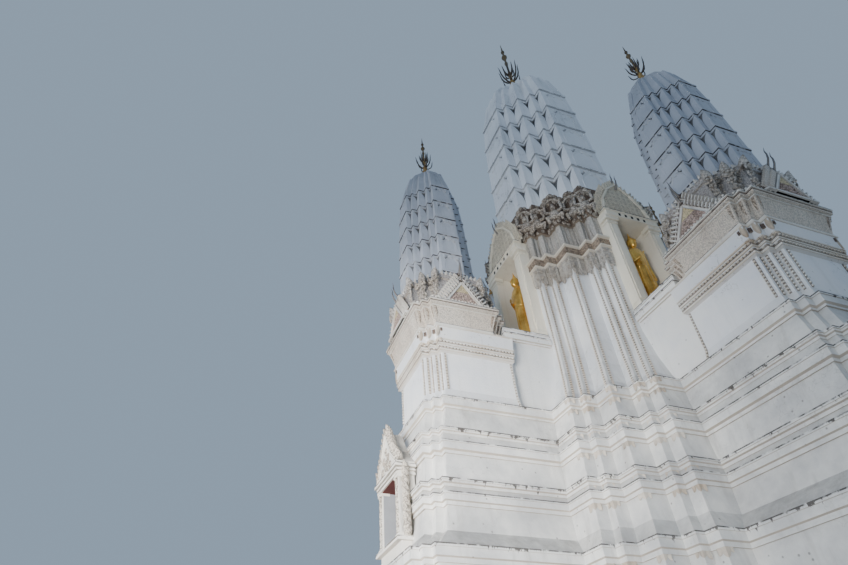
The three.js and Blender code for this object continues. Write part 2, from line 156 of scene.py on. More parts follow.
def carved_leaf_effect():
    """Close carving: small rounded lobes of leaf work, with dirt and painted shade in the hollows.
    """
    effect, given, place = start_effect("carved_leaf", {"Size": 22.0})
    bend = noise_node(effect, place, 7.0, 3.0, output="Color")
    shift = add_node(effect, "ShaderNodeVectorMath", {0: bend, 1: (0.05, 0.05, 0.05)},
                     operation="MULTIPLY")
    bent = add_node(effect, "ShaderNodeVectorMath", {0: place, 1: shift.outputs[0]},
                    operation="ADD")
    lobes = add_node(effect, "ShaderNodeTexVoronoi", {
        "Vector": bent.outputs[0], "Scale": given["Size"]}).outputs["Distance"]
    fine = noise_node(effect, place, 55.0, 4.0)
    rounded = math_node(effect, "SUBTRACT", 1.0, lobes)
    deep = math_node(effect, "MULTIPLY_ADD", fine, 0.25, lobes)
    return finish_effect(effect, Height=math_node(effect, "MULTIPLY_ADD", fine, 0.35, rounded),
                         Hollows=ramp(effect, deep, 0.50, 0.82))


def hair_crack_effect():
    """Fine cracks that wander through old render, in patches, with small dark pocks."""
    effect, given, place = start_effect("hair_cracks", {"Size": 1.3, "Cover": 0.5})
    noise = noise_node(effect, place, given["Size"], 5.0, 0.6)
    distance = math_node(effect, "ABSOLUTE", math_node(effect, "SUBTRACT", noise, 0.5))
    line = ramp(effect, distance, 0.005, 0.0015)
    patch = ramp(effect, noise_node(effect, place, 0.9, 2.0), 0.52, 0.60)
    spots = add_node(effect, "ShaderNodeTexVoronoi", {"Vector": place, "Scale": 7.0}).outputs
    small = ramp(effect, spots["Distance"], 0.12, 0.07)
    picked = math_node(effect, "GREATER_THAN", axis_part(effect, spots["Color"], "X"), 0.60)
    pock = math_node(effect, "MULTIPLY", small, picked)
    return finish_effect(effect, Cracks=math_node(effect, "MULTIPLY", line, patch),
                         Pocks=math_node(effect, "MULTIPLY", pock, given["Cover"]))


RENDER_MOTTLE = render_mottle_effect()
RAIN_STREAKS = rain_streak_effect()
EDGE_DRIPS_AND_SHADE_LINES = edge_drip_and_shade_line_effect()
LEDGE_SOOT_AND_UNDERSIDE_SHADE = ledge_soot_and_underside_shade_effect()
CARVED_LEAF = carved_leaf_effect()
HAIR_CRACKS = hair_crack_effect()
# Black of drips, also laid as painted shade in carved hollows and in lines under spire cornices.
DRIP_AND_SHADE_BLACK = (0.045, 0.034, 0.026)
SOOT = (0.13, 0.115, 0.10)
# Painted shade: the colour laid on faces turned down, where shade falls under ledges.
SOFFIT_PAINTED_SHADE = (0.50, 0.42, 0.33)


def set_inputs(node, **values):
    for label, value in values.items():
        node.inputs[label.replace("_", " ").title()].default_value = value
    return node


def place_effect(tree, effect, **values):
    made = tree.nodes.new("ShaderNodeGroup")
    made.node_tree = effect
    return set_inputs(made, **values)


def begin_material(name, **values):
    """A new material with plain values on its shader."""
    material = bpy.data.materials.new(name)
    material.use_nodes = True
    set_inputs(material.node_tree.nodes["Principled BSDF"], **values)
    return material


def finish_material(material, colour, height, strength, relief):
    """Joins the colour and the relief to the material's shader."""
    tree = material.node_tree
    shader = tree.nodes["Principled BSDF"]
    bump = add_node(tree, "ShaderNodeBump", {
        "Height": height, "Strength": strength, "Distance": relief})
    tree.links.new(colour, shader.inputs["Base Color"])
    tree.links.new(bump.outputs[0], shader.inputs["Normal"])
    return material


def tint(tree, mask, under, over, strength=1.0):
    """Lays one colour over another where the mask says so."""
    amount = math_node(tree, "MULTIPLY", mask, strength, clamp=True)
    mix = add_node(tree, "ShaderNodeMix", data_type="RGBA")
    tree.links.new(amount, mix.inputs[0])
    for socket, value in ((mix.inputs[6], under), (mix.inputs[7], over)):
        if isinstance(value, bpy.types.NodeSocket):
            tree.links.new(value, socket)
        else:
            socket.default_value = (*value, 1.0)
    return mix.outputs[2]


def masonry(name, pale, deep, streak, drips=(), streak_strength=0.4, soot=0.5, grain=30.0,
            relief=0.012, roughness=0.88, carving=0.0, hollow=0.8, cracks=0.0, pocks=0.0,
            underside=0.5, cloud=0.9):
    """Lime-rendered masonry: two wash colours, carving, cracks, streaks, drips, soot and painted
    shade.
    """
    material = begin_material(name, roughness=roughness)
    tree = material.node_tree
    mottle = place_effect(tree, RENDER_MOTTLE, cloud_size=cloud, grain_size=grain)
    colour = tint(tree, ramp(tree, mottle.outputs["Cloud"], 0.38, 0.66), pale, deep)
    ledges = place_effect(tree, LEDGE_SOOT_AND_UNDERSIDE_SHADE, cover=soot)
    # Faces turned down take the painted shade colour, as far as the underside amount gives.
    colour = tint(tree, ledges.outputs["Underside"], colour, SOFFIT_PAINTED_SHADE, underside)
    streaks = place_effect(tree, RAIN_STREAKS, width=5.0, cover=0.47)
    colour = tint(tree, streaks.outputs["Mask"], colour, streak, streak_strength)
    height = mottle.outputs["Grain"]
    if carving:
        carved = place_effect(tree, CARVED_LEAF, size=carving)
        # The carving's hollows are darkened: dirt and painted shade together.
        colour = tint(tree, carved.outputs["Hollows"], colour, DRIP_AND_SHADE_BLACK, hollow)
        height = carved.outputs["Height"]
    if cracks or pocks:
        flaws = place_effect(tree, HAIR_CRACKS, size=1.3, cover=1.0)
        colour = tint(tree, flaws.outputs["Cracks"], colour, SOOT, cracks)
        colour = tint(tree, flaws.outputs["Pocks"], colour, SOOT, pocks)
    # Each drip level adds black drips and a dark line under its edge; on the spires these are
    # painted shade under the cornices.
    for level, reach in drips:
        drip = place_effect(tree, EDGE_DRIPS_AND_SHADE_LINES, level=level, reach=reach, line=0.016)
        colour = tint(tree, drip.outputs["Mask"], colour, DRIP_AND_SHADE_BLACK, 0.9)
    colour = tint(tree, ledges.outputs["Soot"], colour, SOOT)
    return finish_material(material, colour, height, 0.6, relief)


def dress(names, material):
    for name in names:
        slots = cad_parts[name].data.materials
        slots.clear()
        slots.append(material)


def pick_faces(piece, test):
    bpy.ops.mesh.select_all(action="DESELECT")
    mesh = bmesh.from_edit_mesh(piece.data)
    for face in mesh.faces:
        if test(face.calc_center_median(), face.normal):
            face.select_set(True)
    bmesh.update_edit_mesh(piece.data)


def begin_edit(piece):
    bpy.context.view_layer.objects.active = piece
    bpy.ops.object.mode_set(mode="EDIT")


def end_edit():
    bpy.ops.mesh.select_all(action="SELECT")
    bpy.ops.mesh.normals_make_consistent(inside=False)
    bpy.ops.object.mode_set(mode="OBJECT")


def select_only(piece):
    bpy.ops.object.select_all(action="DESELECT")
    piece.select_set(True)
    bpy.context.view_layer.objects.active = piece


def turn_outward(piece):
    """Points all faces outwards again after a mirrored copy."""
    select_only(piece)
    begin_edit(piece)
    end_edit()
    return piece


def settle(piece):
    """Puts a piece's place into its mesh."""
    select_only(piece)
    bpy.ops.object.transform_apply(location=True, rotation=True, scale=True)
    return piece


def begin_form(primitive, **settings):
    """Adds a primitive with nothing else selected, and opens it in edit mode, selected all over."""
    bpy.ops.object.select_all(action="DESELECT")
    primitive(**settings)
    form = settle(bpy.context.object)
    begin_edit(form)
    bpy.ops.mesh.select_all(action="SELECT")
    return form


def smooth(piece, angle):
    bpy.ops.object.shade_smooth_by_angle(angle=math.radians(angle))
    return piece


def join_pieces(pieces):
    bpy.ops.object.select_all(action="DESELECT")
    for piece in pieces:
        piece.select_set(True)
    bpy.context.view_layer.objects.active = pieces[0]
    if len(pieces) > 1:
        bpy.ops.object.join()
    return pieces[0]


def quarter_turn(turns):
    return Matrix.Rotation(turns * math.pi / 2, 4, "Z")


def posed(place, turn=0.0, tilt=0.0, sizes=(1, 1, 1)):
    """Sizes a pattern, tilts it about X, turns it about Z and moves it to its place."""
    return (Matrix.Translation(place) @ Matrix.Rotation(turn, 4, "Z")
            @ Matrix.Rotation(tilt, 4, "X") @ Matrix.Diagonal((*sizes, 1)))


def moved_copy(pattern, matrix):
    copy = bpy.data.objects.new(pattern.name, pattern.data.copy())
    bpy.context.scene.collection.objects.link(copy)
    copy.data.transform(matrix)
    return copy


def place_copies(pattern, matrices):
    """Copies a pattern by each matrix, as one piece."""
    return join_pieces([moved_copy(pattern, matrix) for matrix in matrices])


def set_out(pattern, places):
    """Copies a pattern to each place (x, y, z, facing) with optional sizes, as one piece."""
    return place_copies(pattern, [posed((x, y, z), facing, sizes=sizes[0] if sizes else (1, 1, 1))
                                  for x, y, z, facing, *sizes in places])


def discard(*pieces):
    for piece in pieces:
        bpy.data.objects.remove(piece)


def four_ways(pattern, offset=0.0):
    """Turns a piece to all four sides of the temple, as one piece."""
    copies = place_copies(pattern, [quarter_turn(turn + offset) for turn in range(4)])
    discard(pattern)
    return copies


def hand_over(piece, name, material, hidden=()):
    """Names and dresses a finished piece and fixes it to the masonry."""
    piece.name = name
    if material is not None:
        piece.data.materials.clear()
        piece.data.materials.append(material)
    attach(piece, "root")
    if hidden:
        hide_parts(*hidden)


def on_four_arms(piece, name, material=None, hides=None):
    """Hands over one copy of a piece for each arm of the temple."""
    for turn, side in enumerate(SIDES):
        hidden = [f"{hides}_{side}"] if hides else ()
        hand_over(moved_copy(piece, quarter_turn(turn)), f"{name}_{side}", material, hidden)
    discard(piece)


def outline_ring(points, fill="NOTHING"):
    """Corners in a closed run through the given points, left in edit mode and selected."""
    ring = begin_form(bpy.ops.mesh.primitive_circle_add, vertices=len(points), fill_type=fill)
    mesh = bmesh.from_edit_mesh(ring.data)
    for vertex, point in zip(mesh.verts, points):
        vertex.co = point
    bmesh.update_edit_mesh(ring.data)
    return ring


def draw_on(ring, before, after):
    """Extrudes the selected outline and moves its new corners to the next one."""
    bpy.ops.mesh.extrude_region_move(TRANSFORM_OT_translate={"value": (0, 0, 0)})
    mesh = bmesh.from_edit_mesh(ring.data)
    places = [Vector(point) for point in before]
    for vertex in mesh.verts:
        if vertex.select:
            nearest = min(range(len(places)), key=lambda i: (places[i] - vertex.co).length_squared)
            vertex.co = after[nearest]
    bmesh.update_edit_mesh(ring.data)


def solid_through(outlines):
    """A closed solid drawn up through outlines that have the same number of corners."""
    solid = outline_ring(outlines[0], "NGON")
    for before, after in zip(outlines, outlines[1:]):
        draw_on(solid, before, after)
    end_edit()
    return solid


def run_moulding(outlines, open_run=False):
    """A moulding run along outlines that together make its closed section."""
    ring = outline_ring(outlines[0])
    if open_run:
        bpy.ops.mesh.select_all(action="DESELECT")
        mesh = bmesh.from_edit_mesh(ring.data)
        mesh.verts.ensure_lookup_table()
        ends = {mesh.verts[0], mesh.verts[len(outlines[0]) - 1]}
        for edge in mesh.edges:
            if set(edge.verts) == ends:
                edge.select_set(True)
        bmesh.update_edit_mesh(ring.data)
        bpy.ops.mesh.delete(type="EDGE")
        bpy.ops.mesh.select_all(action="SELECT")
    for before, after in zip(outlines, outlines[1:] + outlines[:1]):
        draw_on(ring, before, after)
    bpy.ops.mesh.select_all(action="SELECT")
    bpy.ops.mesh.remove_doubles(threshold=0.0002)
    if open_run:
        bpy.ops.mesh.fill_holes(sides=len(outlines))
    end_edit()
    return ring


def stepped_corner(half_x, half_y, steps):
    """Corner points of one stepped corner, counterclockwise, convex and concave in turn."""
    last = len(steps) - 1
    corners = []
    for k in range(last + 1):
        corners.append((half_x - steps[k], half_y - steps[last - k]))
        if k < last:
            corners.append((half_x - steps[k + 1], half_y - steps[last - k]))
    return corners


def stepped_corners(half_x, half_y, steps):
    """The whole stepped plan, counterclockwise."""
    quadrant = stepped_corner(half_x, half_y, steps)
    mirrored = quadrant[::-1]
    return (quadrant + [(-x, y) for x, y in mirrored] + [(-x, -y) for x, y in quadrant]
            + [(x, -y) for x, y in mirrored])


def cross_quadrant(arm_half, centre_half):
    """Corners of the cross-shaped plan from the east arm's end round to the north arm's end."""
    half = stepped_corner(ARM + arm_half - RADIAL_TRIM, arm_half, SHAFT_STEPS)
    half.append((centre_half, arm_half))
    return (half + stepped_corner(centre_half, centre_half, TOWER_STEPS)
            + [(y, x) for x, y in reversed(half)])


def tower_corner(half, quarter, k, back_x=0.0, back_y=0.0):
    """One of the five projecting corners on a quarter of the tower's plan."""
    return Matrix.Rotation(quarter * math.pi / 2, 2) @ Vector(
        (half - TOWER_STEPS[k] - back_x, half - TOWER_STEPS[4 - k] - back_y))


def fillet_section(foot, head, proud, bed):
    """How far out each corner of a fillet's section stands, and its level."""
    return (-bed, foot), (proud, foot), (proud, head), (-bed, head)


def course_moulding(foot, head, arm_half, centre_half, proud, past_shrine):
    """One fillet round the base, its back bedded in the course behind it."""
    outlines = []
    for grow, level in fillet_section(foot, head, proud, COURSE_BED):
        quadrant = cross_quadrant(arm_half + grow, centre_half + grow)
        if past_shrine:
            reach = quadrant[0][0]
            outlines.append([(reach, SHRINE_SIDE, level)]
                            + [(x, y, level) for x, y in quadrant] + [(SHRINE_SIDE, reach, level)])
        else:
            points = []
            for c, s in ((1, 0), (0, 1), (-1, 0), (0, -1)):
                points += [(c * x - s * y, s * x + c * y, level) for x, y in quadrant]
            outlines.append(points)
    run = run_moulding(outlines, open_run=past_shrine)
    return four_ways(run) if past_shrine else run


# Foot, head, half width of an arm, half width of the centre, how proud, stopped at the shrines.
COURSE_LINES = (
    (5.036, 5.07, 0.870, 2.220, 0.014, False), (4.868, 4.912, 0.840, 2.197, 0.014, False),
    (4.425, 4.455, 1.015, 2.370, 0.013, False), (4.355, 4.388, 0.985, 2.345, 0.013, False),
    (4.218, 4.250, 1.022, 2.390, 0.013, False), (4.060, 4.108, 0.965, 2.345, 0.022, False),
    (3.618, 3.650, 1.112, 2.490, 0.013, True), (3.540, 3.580, 1.065, 2.455, 0.018, True),
    (3.438, 3.470, 1.100, 2.490, 0.013, True), (3.300, 3.350, 1.050, 2.445, 0.022, True),
    (2.670, 2.710, 1.420, 2.680, 0.014, False), (2.500, 2.560, 1.375, 2.635, 0.022, False),
    (0.860, 0.900, 1.560, 2.820, 0.014, False), (0.310, 0.350, 1.560, 2.820, 0.022, False),
)
WHITE_WASH = (0.88, 0.87, 0.84)
GREY_WASH = (0.60, 0.60, 0.60)
GREY_STREAK = (0.40, 0.38, 0.35)
BASE_EDGES = ((5.07, 0.13), (4.455, 0.16), (4.25, 0.06), (3.65, 0.14), (3.47, 0.07), (2.71, 0.14),
              (0.90, 0.16))

# The faces turned down under each course are strongly tinted as painted shade.
base_wash = masonry("base limewash", WHITE_WASH, GREY_WASH, GREY_STREAK, BASE_EDGES, cracks=0.18,
                    streak_strength=0.55, pocks=0.6, underside=0.85, cloud=1.6)
dress(["base_plinth", "base_terrace", "base_lower_band", "base_upper_band", "base_torus"],
      base_wash)
hand_over(join_pieces([course_moulding(*line) for line in COURSE_LINES]), "base_mouldings",
          base_wash)


def draw_up(steps, x=0.0, z=0.0, size=1.0):
    """Extrudes the selected faces through steps of place along X, level and size."""
    for next_x, next_z, next_size in steps:
        bpy.ops.mesh.extrude_region_move(
            TRANSFORM_OT_translate={"value": (next_x - x, 0, next_z - z)})
        factor = next_size / size
        bpy.ops.transform.resize(value=(factor, factor, 1), center_override=(next_x, 0, next_z))
        x, z, size = next_x, next_z, next_size


def pointed_leaf(width, depth, height, profile=((0.2, 1.04), (0.42, 0.98), (0.62, 0.84),
                                                (0.78, 0.62), (0.9, 0.36), (1.0, 0.03)), sides=8):
    """A leaf that faces +X with its foot at the origin: full below, drawn in to a forward tip."""
    leaf = begin_form(bpy.ops.mesh.primitive_circle_add, vertices=sides, radius=0.5,
                      fill_type="NGON")
    bpy.ops.transform.resize(value=(2 * depth, width, 1), center_override=(0, 0, 0))
    draw_up([(depth * (1 - narrow), rise * height, narrow) for rise, narrow in profile])
    end_edit()
    return smooth(leaf, 50)


def round_form(centre, size, segments=8, rings=6):
    bpy.ops.object.select_all(action="DESELECT")
    bpy.ops.mesh.primitive_uv_sphere_add(segments=segments, ring_count=rings, radius=1,
                                         location=centre, scale=size)
    return settle(bpy.context.object)


def curled_leaf():
    """A curl of leaf work, one unit across, that faces +X: a ring, its eye and a drawn-out tail."""
    curl = begin_form(bpy.ops.mesh.primitive_torus_add, major_segments=9, minor_segments=4,
                      major_radius=0.34, minor_radius=0.15, rotation=(0, math.pi / 2, 0))
    pick_faces(curl, lambda centre, normal: normal.y > 0.6 and abs(centre.z) < 0.2)
    for move, factor in (((0.02, 0.10, -0.26), 0.7), ((0.0, -0.06, -0.30), 0.4)):
        bpy.ops.mesh.extrude_region_move(TRANSFORM_OT_translate={"value": move})
        bpy.ops.transform.resize(value=(factor, factor, factor))
    end_edit()
    eye = round_form((0.08, 0, 0), (0.24, 0.2, 0.2), 6, 4)
    return smooth(join_pieces([curl, eye]), 60)


curl, bracket = curled_leaf(), pointed_leaf(1.0, 1.0, 1.0, sides=4)
chance = random.Random(3)
BRACKET_ROWS = ((4.86, 2.205), (5.03, 2.230), (4.35, 2.350), (4.06, 2.350), (3.54, 2.455),
                (3.30, 2.450), (2.50, 2.640), (0.31, 2.785))
BRACKET_WIDE = 0.070
BRACKET_BACK = 0.080
brackets = []
for level, half in BRACKET_ROWS:
    for quarter in range(4):
        for k in range(5):
            for back_x, back_y, facing in ((0.0, 0.0, 0.5), (0.0, BRACKET_BACK, 0.0),
                                           (BRACKET_BACK, 0.0, 1.0)):
                point = tower_corner(half, quarter, k, back_x, back_y)
                wide = BRACKET_WIDE * chance.uniform(0.8, 1.2)
                inset = -0.25 * wide if facing == 0.5 else 0.0
                sizes = (wide * 0.45, wide, -wide * chance.uniform(1.0, 1.5))
                brackets.append(posed((point.x, point.y, level), (quarter + facing) * math.pi / 2)
                                @ posed((inset, 0, 0), sizes=sizes))
bracket_stucco = masonry("bracket stucco", (0.74, 0.68, 0.60), (0.50, 0.40, 0.30),
                         (0.10, 0.07, 0.05), streak_strength=0.8, soot=1.0, grain=60.0, relief=0.02)
hand_over(turn_outward(place_copies(bracket, brackets)), "base_brackets", bracket_stucco)
discard(bracket)

# Satellite shafts: plain limewashed masonry between rows of small dentils of cast lime stucco. Each
# row is a strip painted dark as the shade of a groove, crossed by the dentils. Every outer corner
# has a row on both faces, one row follows the shaft's edge beside the neck, and two run round under
# the corbel.

SHOULDER = 2.715
BODY_HALF = 0.778
BODY_PROFILE = ((5.07, 0.815), (5.25, 0.78), (5.94, 0.775), (6.15, 0.84), (6.44, 0.866))
DENTIL_PITCH = 0.056
ROW_FOOT, ROW_HEAD = 5.25, 5.93
NECK_ROW_FOOT = 5.09
ROW_INSET = 0.055


def edge_places(corners, pitch, level, margin=0.02):
    """Evenly pitched places on every side of a plan, each turned to face outwards."""
    places = []
    for start, end in zip(corners, corners[1:] + corners[:1]):
        run = Vector(end) - Vector(start)
        if run.length < 2 * margin + 0.02:
            continue
        facing = math.atan2(-run.x, run.y)
        count = max(1, int((run.length - 2 * margin) / pitch))
        for i in range(count):
            point = Vector(start) + run * ((i + 0.5) / count)
            places.append((point.x, point.y, level, facing))
    return places


def cast_block(deep, wide, tall, taper=0.75):
    """A small stucco block that faces +X, its back on the wall and its sides drawn in."""
    block = begin_form(bpy.ops.mesh.primitive_cube_add, size=1, scale=(deep, wide, tall))
    pick_faces(block, lambda centre, normal: normal.x > 0.9)
    bpy.ops.transform.resize(value=(1, taper, taper))
    end_edit()
    return block


def groove_strip(x, y, facing, levels, shift, wide, proud):
    """A strip up a wall that follows its slope, where shift tells how far the wall stands out."""
    along = Vector((-math.sin(facing), math.cos(facing)))
    out = Vector((math.cos(facing), math.sin(facing)))
    outlines = []
    for level in levels:
        grow = Vector(shift(level))
        corners = []
        for forward, side in ((-0.02, -1), (proud, -1), (proud, 1), (-0.02, 1)):
            point = Vector((x, y)) + grow + out * forward + along * side * wide / 2
            corners.append((point.x, point.y, level))
        outlines.append(corners)
    return solid_through(outlines)


def corner_rows(corners, inset):
    """Where upright rows stand beside each convex corner: point, facing and the corner's side."""
    rows = []
    count = len(corners)
    for i in range(count):
        before, here, after = corners[i - 1], corners[i], corners[(i + 1) % count]
        inward = Vector(before) - Vector(here)
        onward = Vector(after) - Vector(here)
        if inward.cross(onward) > 0:
            continue
        for run in (inward, onward):
            if run.length < inset * 1.5:
                continue
            along = run.normalized() * min(inset, run.length / 2)
            other = onward if run is inward else inward
            rows.append((here[0] + along.x, here[1] + along.y, math.atan2(-other.y, -other.x),
                         (math.copysign(1, here[0]), math.copysign(1, here[1]))))
    return rows


def shaft_plan(half):
    """Plan of a satellite shaft: stepped outer corners, plain shoulders beside the neck."""
    stepped = [(ARM + x, y) for x, y in stepped_corners(half - RADIAL_TRIM, half, SHAFT_STEPS)]
    outer = [point for point in stepped if point[0] > ARM]
    last = len(outer) // 2
    inner = SHOULDER - 0.4 * (half - 0.775)
    return outer[:last] + [(inner, half), (inner, -half)] + outer[last:]


def half_at(profile, level):
    """Half width at a level of a wall given by its levels and half widths."""
    for (low, low_half), (high, high_half) in zip(profile, profile[1:]):
        if level <= high:
            return low_half + (high_half - low_half) * (level - low) / (high - low)
    return profile[-1][1]


def plan_fillet(plan, half, foot, head, proud, bed=0.04):
    """A fillet run round a plan, its back bedded in the wall."""
    return run_moulding([[(x, y, level) for x, y in plan(half + grow)]
                         for grow, level in fillet_section(foot, head, proud, bed)])


shoulder = solid_through([
    [(SHOULDER - 0.5 * step, 0.60, level), (3.13, 0.60, level), (3.13, 0.773 + step, level),
     (SHOULDER - 0.5 * step, 0.773 + step, level)]
    for level, step in ((5.07, 0.040), (5.16, 0.018), (5.25, 0.004), (5.94, 0.0), (5.96, 0.037),
                        (6.15, 0.065), (6.44, 0.091))])
mirrored = place_copies(shoulder, [Matrix.Diagonal((1, -1, 1, 1))])
shoulders = turn_outward(join_pieces([shoulder, mirrored]))
shaft_wash = masonry("shaft limewash", (0.88, 0.88, 0.88), (0.76, 0.78, 0.83), GREY_STREAK,
                     ((6.43, 0.05),), streak_strength=0.22, cracks=0.4, pocks=0.35)
dress([f"satellite_body_{side}" for side in SIDES], shaft_wash)
on_four_arms(shoulders, "shaft_shoulders", shaft_wash)

rows = [row for row in corner_rows(shaft_plan(BODY_HALF), ROW_INSET) if row[0] > ARM]
for side in (1, -1):
    rows.append((SHOULDER + 0.035, side * 0.775, side * math.pi / 2, (-0.5, side)))
upper_levels = [ROW_FOOT + 0.02 + DENTIL_PITCH * i for i in range(12)]
foot_levels = [5.11, 5.166, 5.222]
dentil = cast_block(0.05, 0.046, 0.030)
dark_rows, places = [], []
for x, y, facing, sign in rows:
    def shift(level, sign=sign):
        grow = half_at(BODY_PROFILE, level) - BODY_HALF
        return (sign[0] * grow, sign[1] * grow)
    beside_neck = x < ARM
    steps = (NECK_ROW_FOOT, ROW_FOOT + 0.001, ROW_HEAD) if beside_neck else (ROW_FOOT, ROW_HEAD)
    dark_rows.append(groove_strip(x, y, facing, steps, shift, 0.032, 0.010))
    for level in (foot_levels + upper_levels if beside_neck else upper_levels):
        across, along = shift(level)
        places.append((x + across, y + along, level, facing))
for half, level in ((0.822, 6.02), (0.838, 6.12)):
    places += [place for place in edge_places(shaft_plan(half), DENTIL_PITCH, level)
               if place[0] > 2.75 or abs(place[1]) > 0.66]
    dark_rows.append(plan_fillet(shaft_plan, half, level - 0.018, level + 0.018, 0.006, 0.03))
dentils = set_out(dentil, [(x, y, z, facing, (1.0, 0.8, 1.0)) for x, y, z, facing in places])
corbel_lines = []
for half, level in ((0.812, 5.972), (0.830, 6.07), (0.842, 6.17), (0.862, 6.425)):
    section = ((-0.04, level - 0.015), (0.016, level - 0.010), (0.016, level + 0.012),
               (-0.04, level + 0.015))
    corbel_lines.append(run_moulding([[(x, y, height) for x, y in shaft_plan(half + grow)]
                                      for grow, height in section]))
dentil_stucco = masonry("dentil stucco", (0.80, 0.78, 0.73), (0.66, 0.56, 0.45),
                        (0.36, 0.24, 0.14), streak_strength=0.4, soot=0.7)
groove_shade = masonry("groove shade", (0.34, 0.30, 0.26), (0.18, 0.15, 0.12), (0.06, 0.05, 0.04))
# Painted shade: dark strips, panels and blocks that stand for the shade in grooves, gaps and
# pockets.
groove_painted_shade = masonry("groove painted shade", (0.14, 0.10, 0.08), (0.06, 0.045, 0.04), (0.03, 0.02, 0.02))
on_four_arms(join_pieces([dentils] + corbel_lines), "shaft_dentils", dentil_stucco)
on_four_arms(join_pieces(dark_rows), "shaft_grooves", groove_shade)

# Corner brackets of the corbel: a hanging leaf at every outer corner over a pair of small scrolls.
# The brackets are stucco, stained orange-brown by rain. Small blocks between them are painted
# dark as the shade of deep pockets.

unit_leaf = pointed_leaf(1.0, 1.0, 1.0)
brackets, pockets, lumps = [], [], []
plan = shaft_plan(0.862)
for i, (x, y) in enumerate(plan):
    if x < ARM:
        continue
    facing = math.atan2(math.copysign(1, y), 1)
    index = i if y > 0 else len(plan) - 1 - i
    if index % 2 == 0:
        brackets.append(posed((x - 0.035, y - math.copysign(0.035, y), 6.41), facing,
                              sizes=(0.045, 0.085, -0.21)))
        for turn in (1, -1):
            lumps.append(posed((x - 0.030, y - math.copysign(0.030, y), 6.155), facing + 0.6 * turn)
                         @ posed((0.01, turn * 0.03, 0), sizes=(0.09, turn * 0.075, 0.075)))
    else:
        pockets.append((x + 0.012, y + math.copysign(0.012, y), 6.35, facing, (1, 1, 1)))
bracket_piece = turn_outward(join_pieces([place_copies(unit_leaf, brackets),
                                          place_copies(curl, lumps)]))
stained_stucco = masonry("stained stucco", (0.68, 0.61, 0.51), (0.42, 0.30, 0.20),
                         (0.14, 0.09, 0.06), streak_strength=0.6, soot=0.8, grain=60.0, relief=0.02)
on_four_arms(bracket_piece, "corbel_brackets", stained_stucco)
pockets += [(x, y, 6.35, facing, (1.0, 0.6, 0.8))
            for x, y, facing, _ in corner_rows(plan, 0.082) if x > ARM]
pocket = cast_block(0.024, 0.055, 0.085, 0.9)
on_four_arms(set_out(pocket, pockets), "corbel_pockets", groove_painted_shade)
discard(pocket, dentil)

# Neck walls: solid masonry between tower and satellite, with a coping in two courses. Water runs
# off the coping's ends, so its edges are the blackest.

neck_wash = masonry("neck limewash", (0.90, 0.89, 0.86), (0.78, 0.79, 0.81), GREY_STREAK,
                    ((6.83, 0.09), (6.70, 0.10)), streak_strength=0.22, cracks=0.4, pocks=0.4,
                    underside=0.8)
dress([f"neck_{side}" for side in SIDES], neck_wash)
coping_lines = []
for side in (1, -1):
    for foot, head, half in ((6.795, 6.83, 0.675), (6.672, 6.705, 0.71), (6.545, 6.578, 0.665)):
        coping_lines.append(solid_through([
            [(1.76, side * (half - 0.04), level), (2.70, side * (half - 0.04), level),
             (2.70, side * (half + 0.014), level), (1.76, side * (half + 0.014), level)]
            for level in (foot, head)]))
on_four_arms(join_pieces(coping_lines), "neck_copings", neck_wash)

# Satellite friezes: a flared band of close-carved stucco between thin ledges. Small white teeth
# stand along the top in a strip painted dark as the shade of a groove, another such strip runs
# between the ledges below, and carved leaves hang over the stepped corners.

FRIEZE_TOP = 6.93
TOOTH_PITCH = 0.058


def frieze_plan(half):
    return [(ARM + x, y) for x, y in stepped_corners(half - RADIAL_TRIM, half, SHAFT_STEPS)]


def leaning(across, along=0.0):
    """Moves a piece sideways as it rises."""
    lean = Matrix.Identity(4)
    lean[0][2], lean[1][2] = across, along
    return lean


frieze_lines = [plan_fillet(frieze_plan, *line) for line in (
    (0.970, 6.905, 6.935, 0.016), (0.955, 6.845, 6.868, 0.014),
    (0.930, 6.800, 6.818, 0.012), (0.846, 6.452, 6.490, 0.016))]
tooth = cast_block(0.036, 0.030, 0.062, 0.7)
frieze_lines.append(set_out(tooth, edge_places(frieze_plan(0.950), TOOTH_PITCH,
                                               FRIEZE_TOP + 0.034)))
edge_white = masonry("ledge stucco", (0.84, 0.82, 0.77), (0.68, 0.63, 0.56), (0.24, 0.18, 0.14),
                     ((6.935, 0.05),), streak_strength=0.5, soot=0.9)
on_four_arms(join_pieces(frieze_lines), "frieze_ledges", edge_white)
discard(tooth)
groove = plan_fillet(frieze_plan, 0.944, FRIEZE_TOP + 0.001, FRIEZE_TOP + 0.05, 0.0, 0.144)
under_groove = plan_fillet(frieze_plan, 0.975, 6.875, 6.893, 0.0, 0.075)
on_four_arms(join_pieces([groove, under_groove]), "frieze_grooves", groove_painted_shade)

FRIEZE_SLOPE = (0.935 - 0.85) / 0.34
LEAF_INSET = 0.036
hung = []
for i, (x, y) in enumerate(stepped_corners(0.925 - RADIAL_TRIM, 0.925, SHAFT_STEPS)):
    if i % 5 % 2 == 0:
        away = Vector((math.copysign(1, x), math.copysign(1, y)))
        facing = math.atan2(away.y, away.x)
        foot = (ARM + x - LEAF_INSET * away.x, y - LEAF_INSET * away.y, 6.795)
        hung.append(Matrix.Translation(foot) @ leaning(*(away * FRIEZE_SLOPE))
                    @ posed((0, 0, 0), facing, sizes=(0.040, 0.105, -0.30)))
hung_leaves = turn_outward(place_copies(unit_leaf, hung))
frieze_stucco = masonry("frieze stucco", (0.89, 0.81, 0.71), (0.75, 0.64, 0.54), (0.34, 0.25, 0.19),
                        ((6.93, 0.09), (6.50, 0.06)), streak_strength=0.35, relief=0.03,
                        carving=48.0, hollow=0.32)
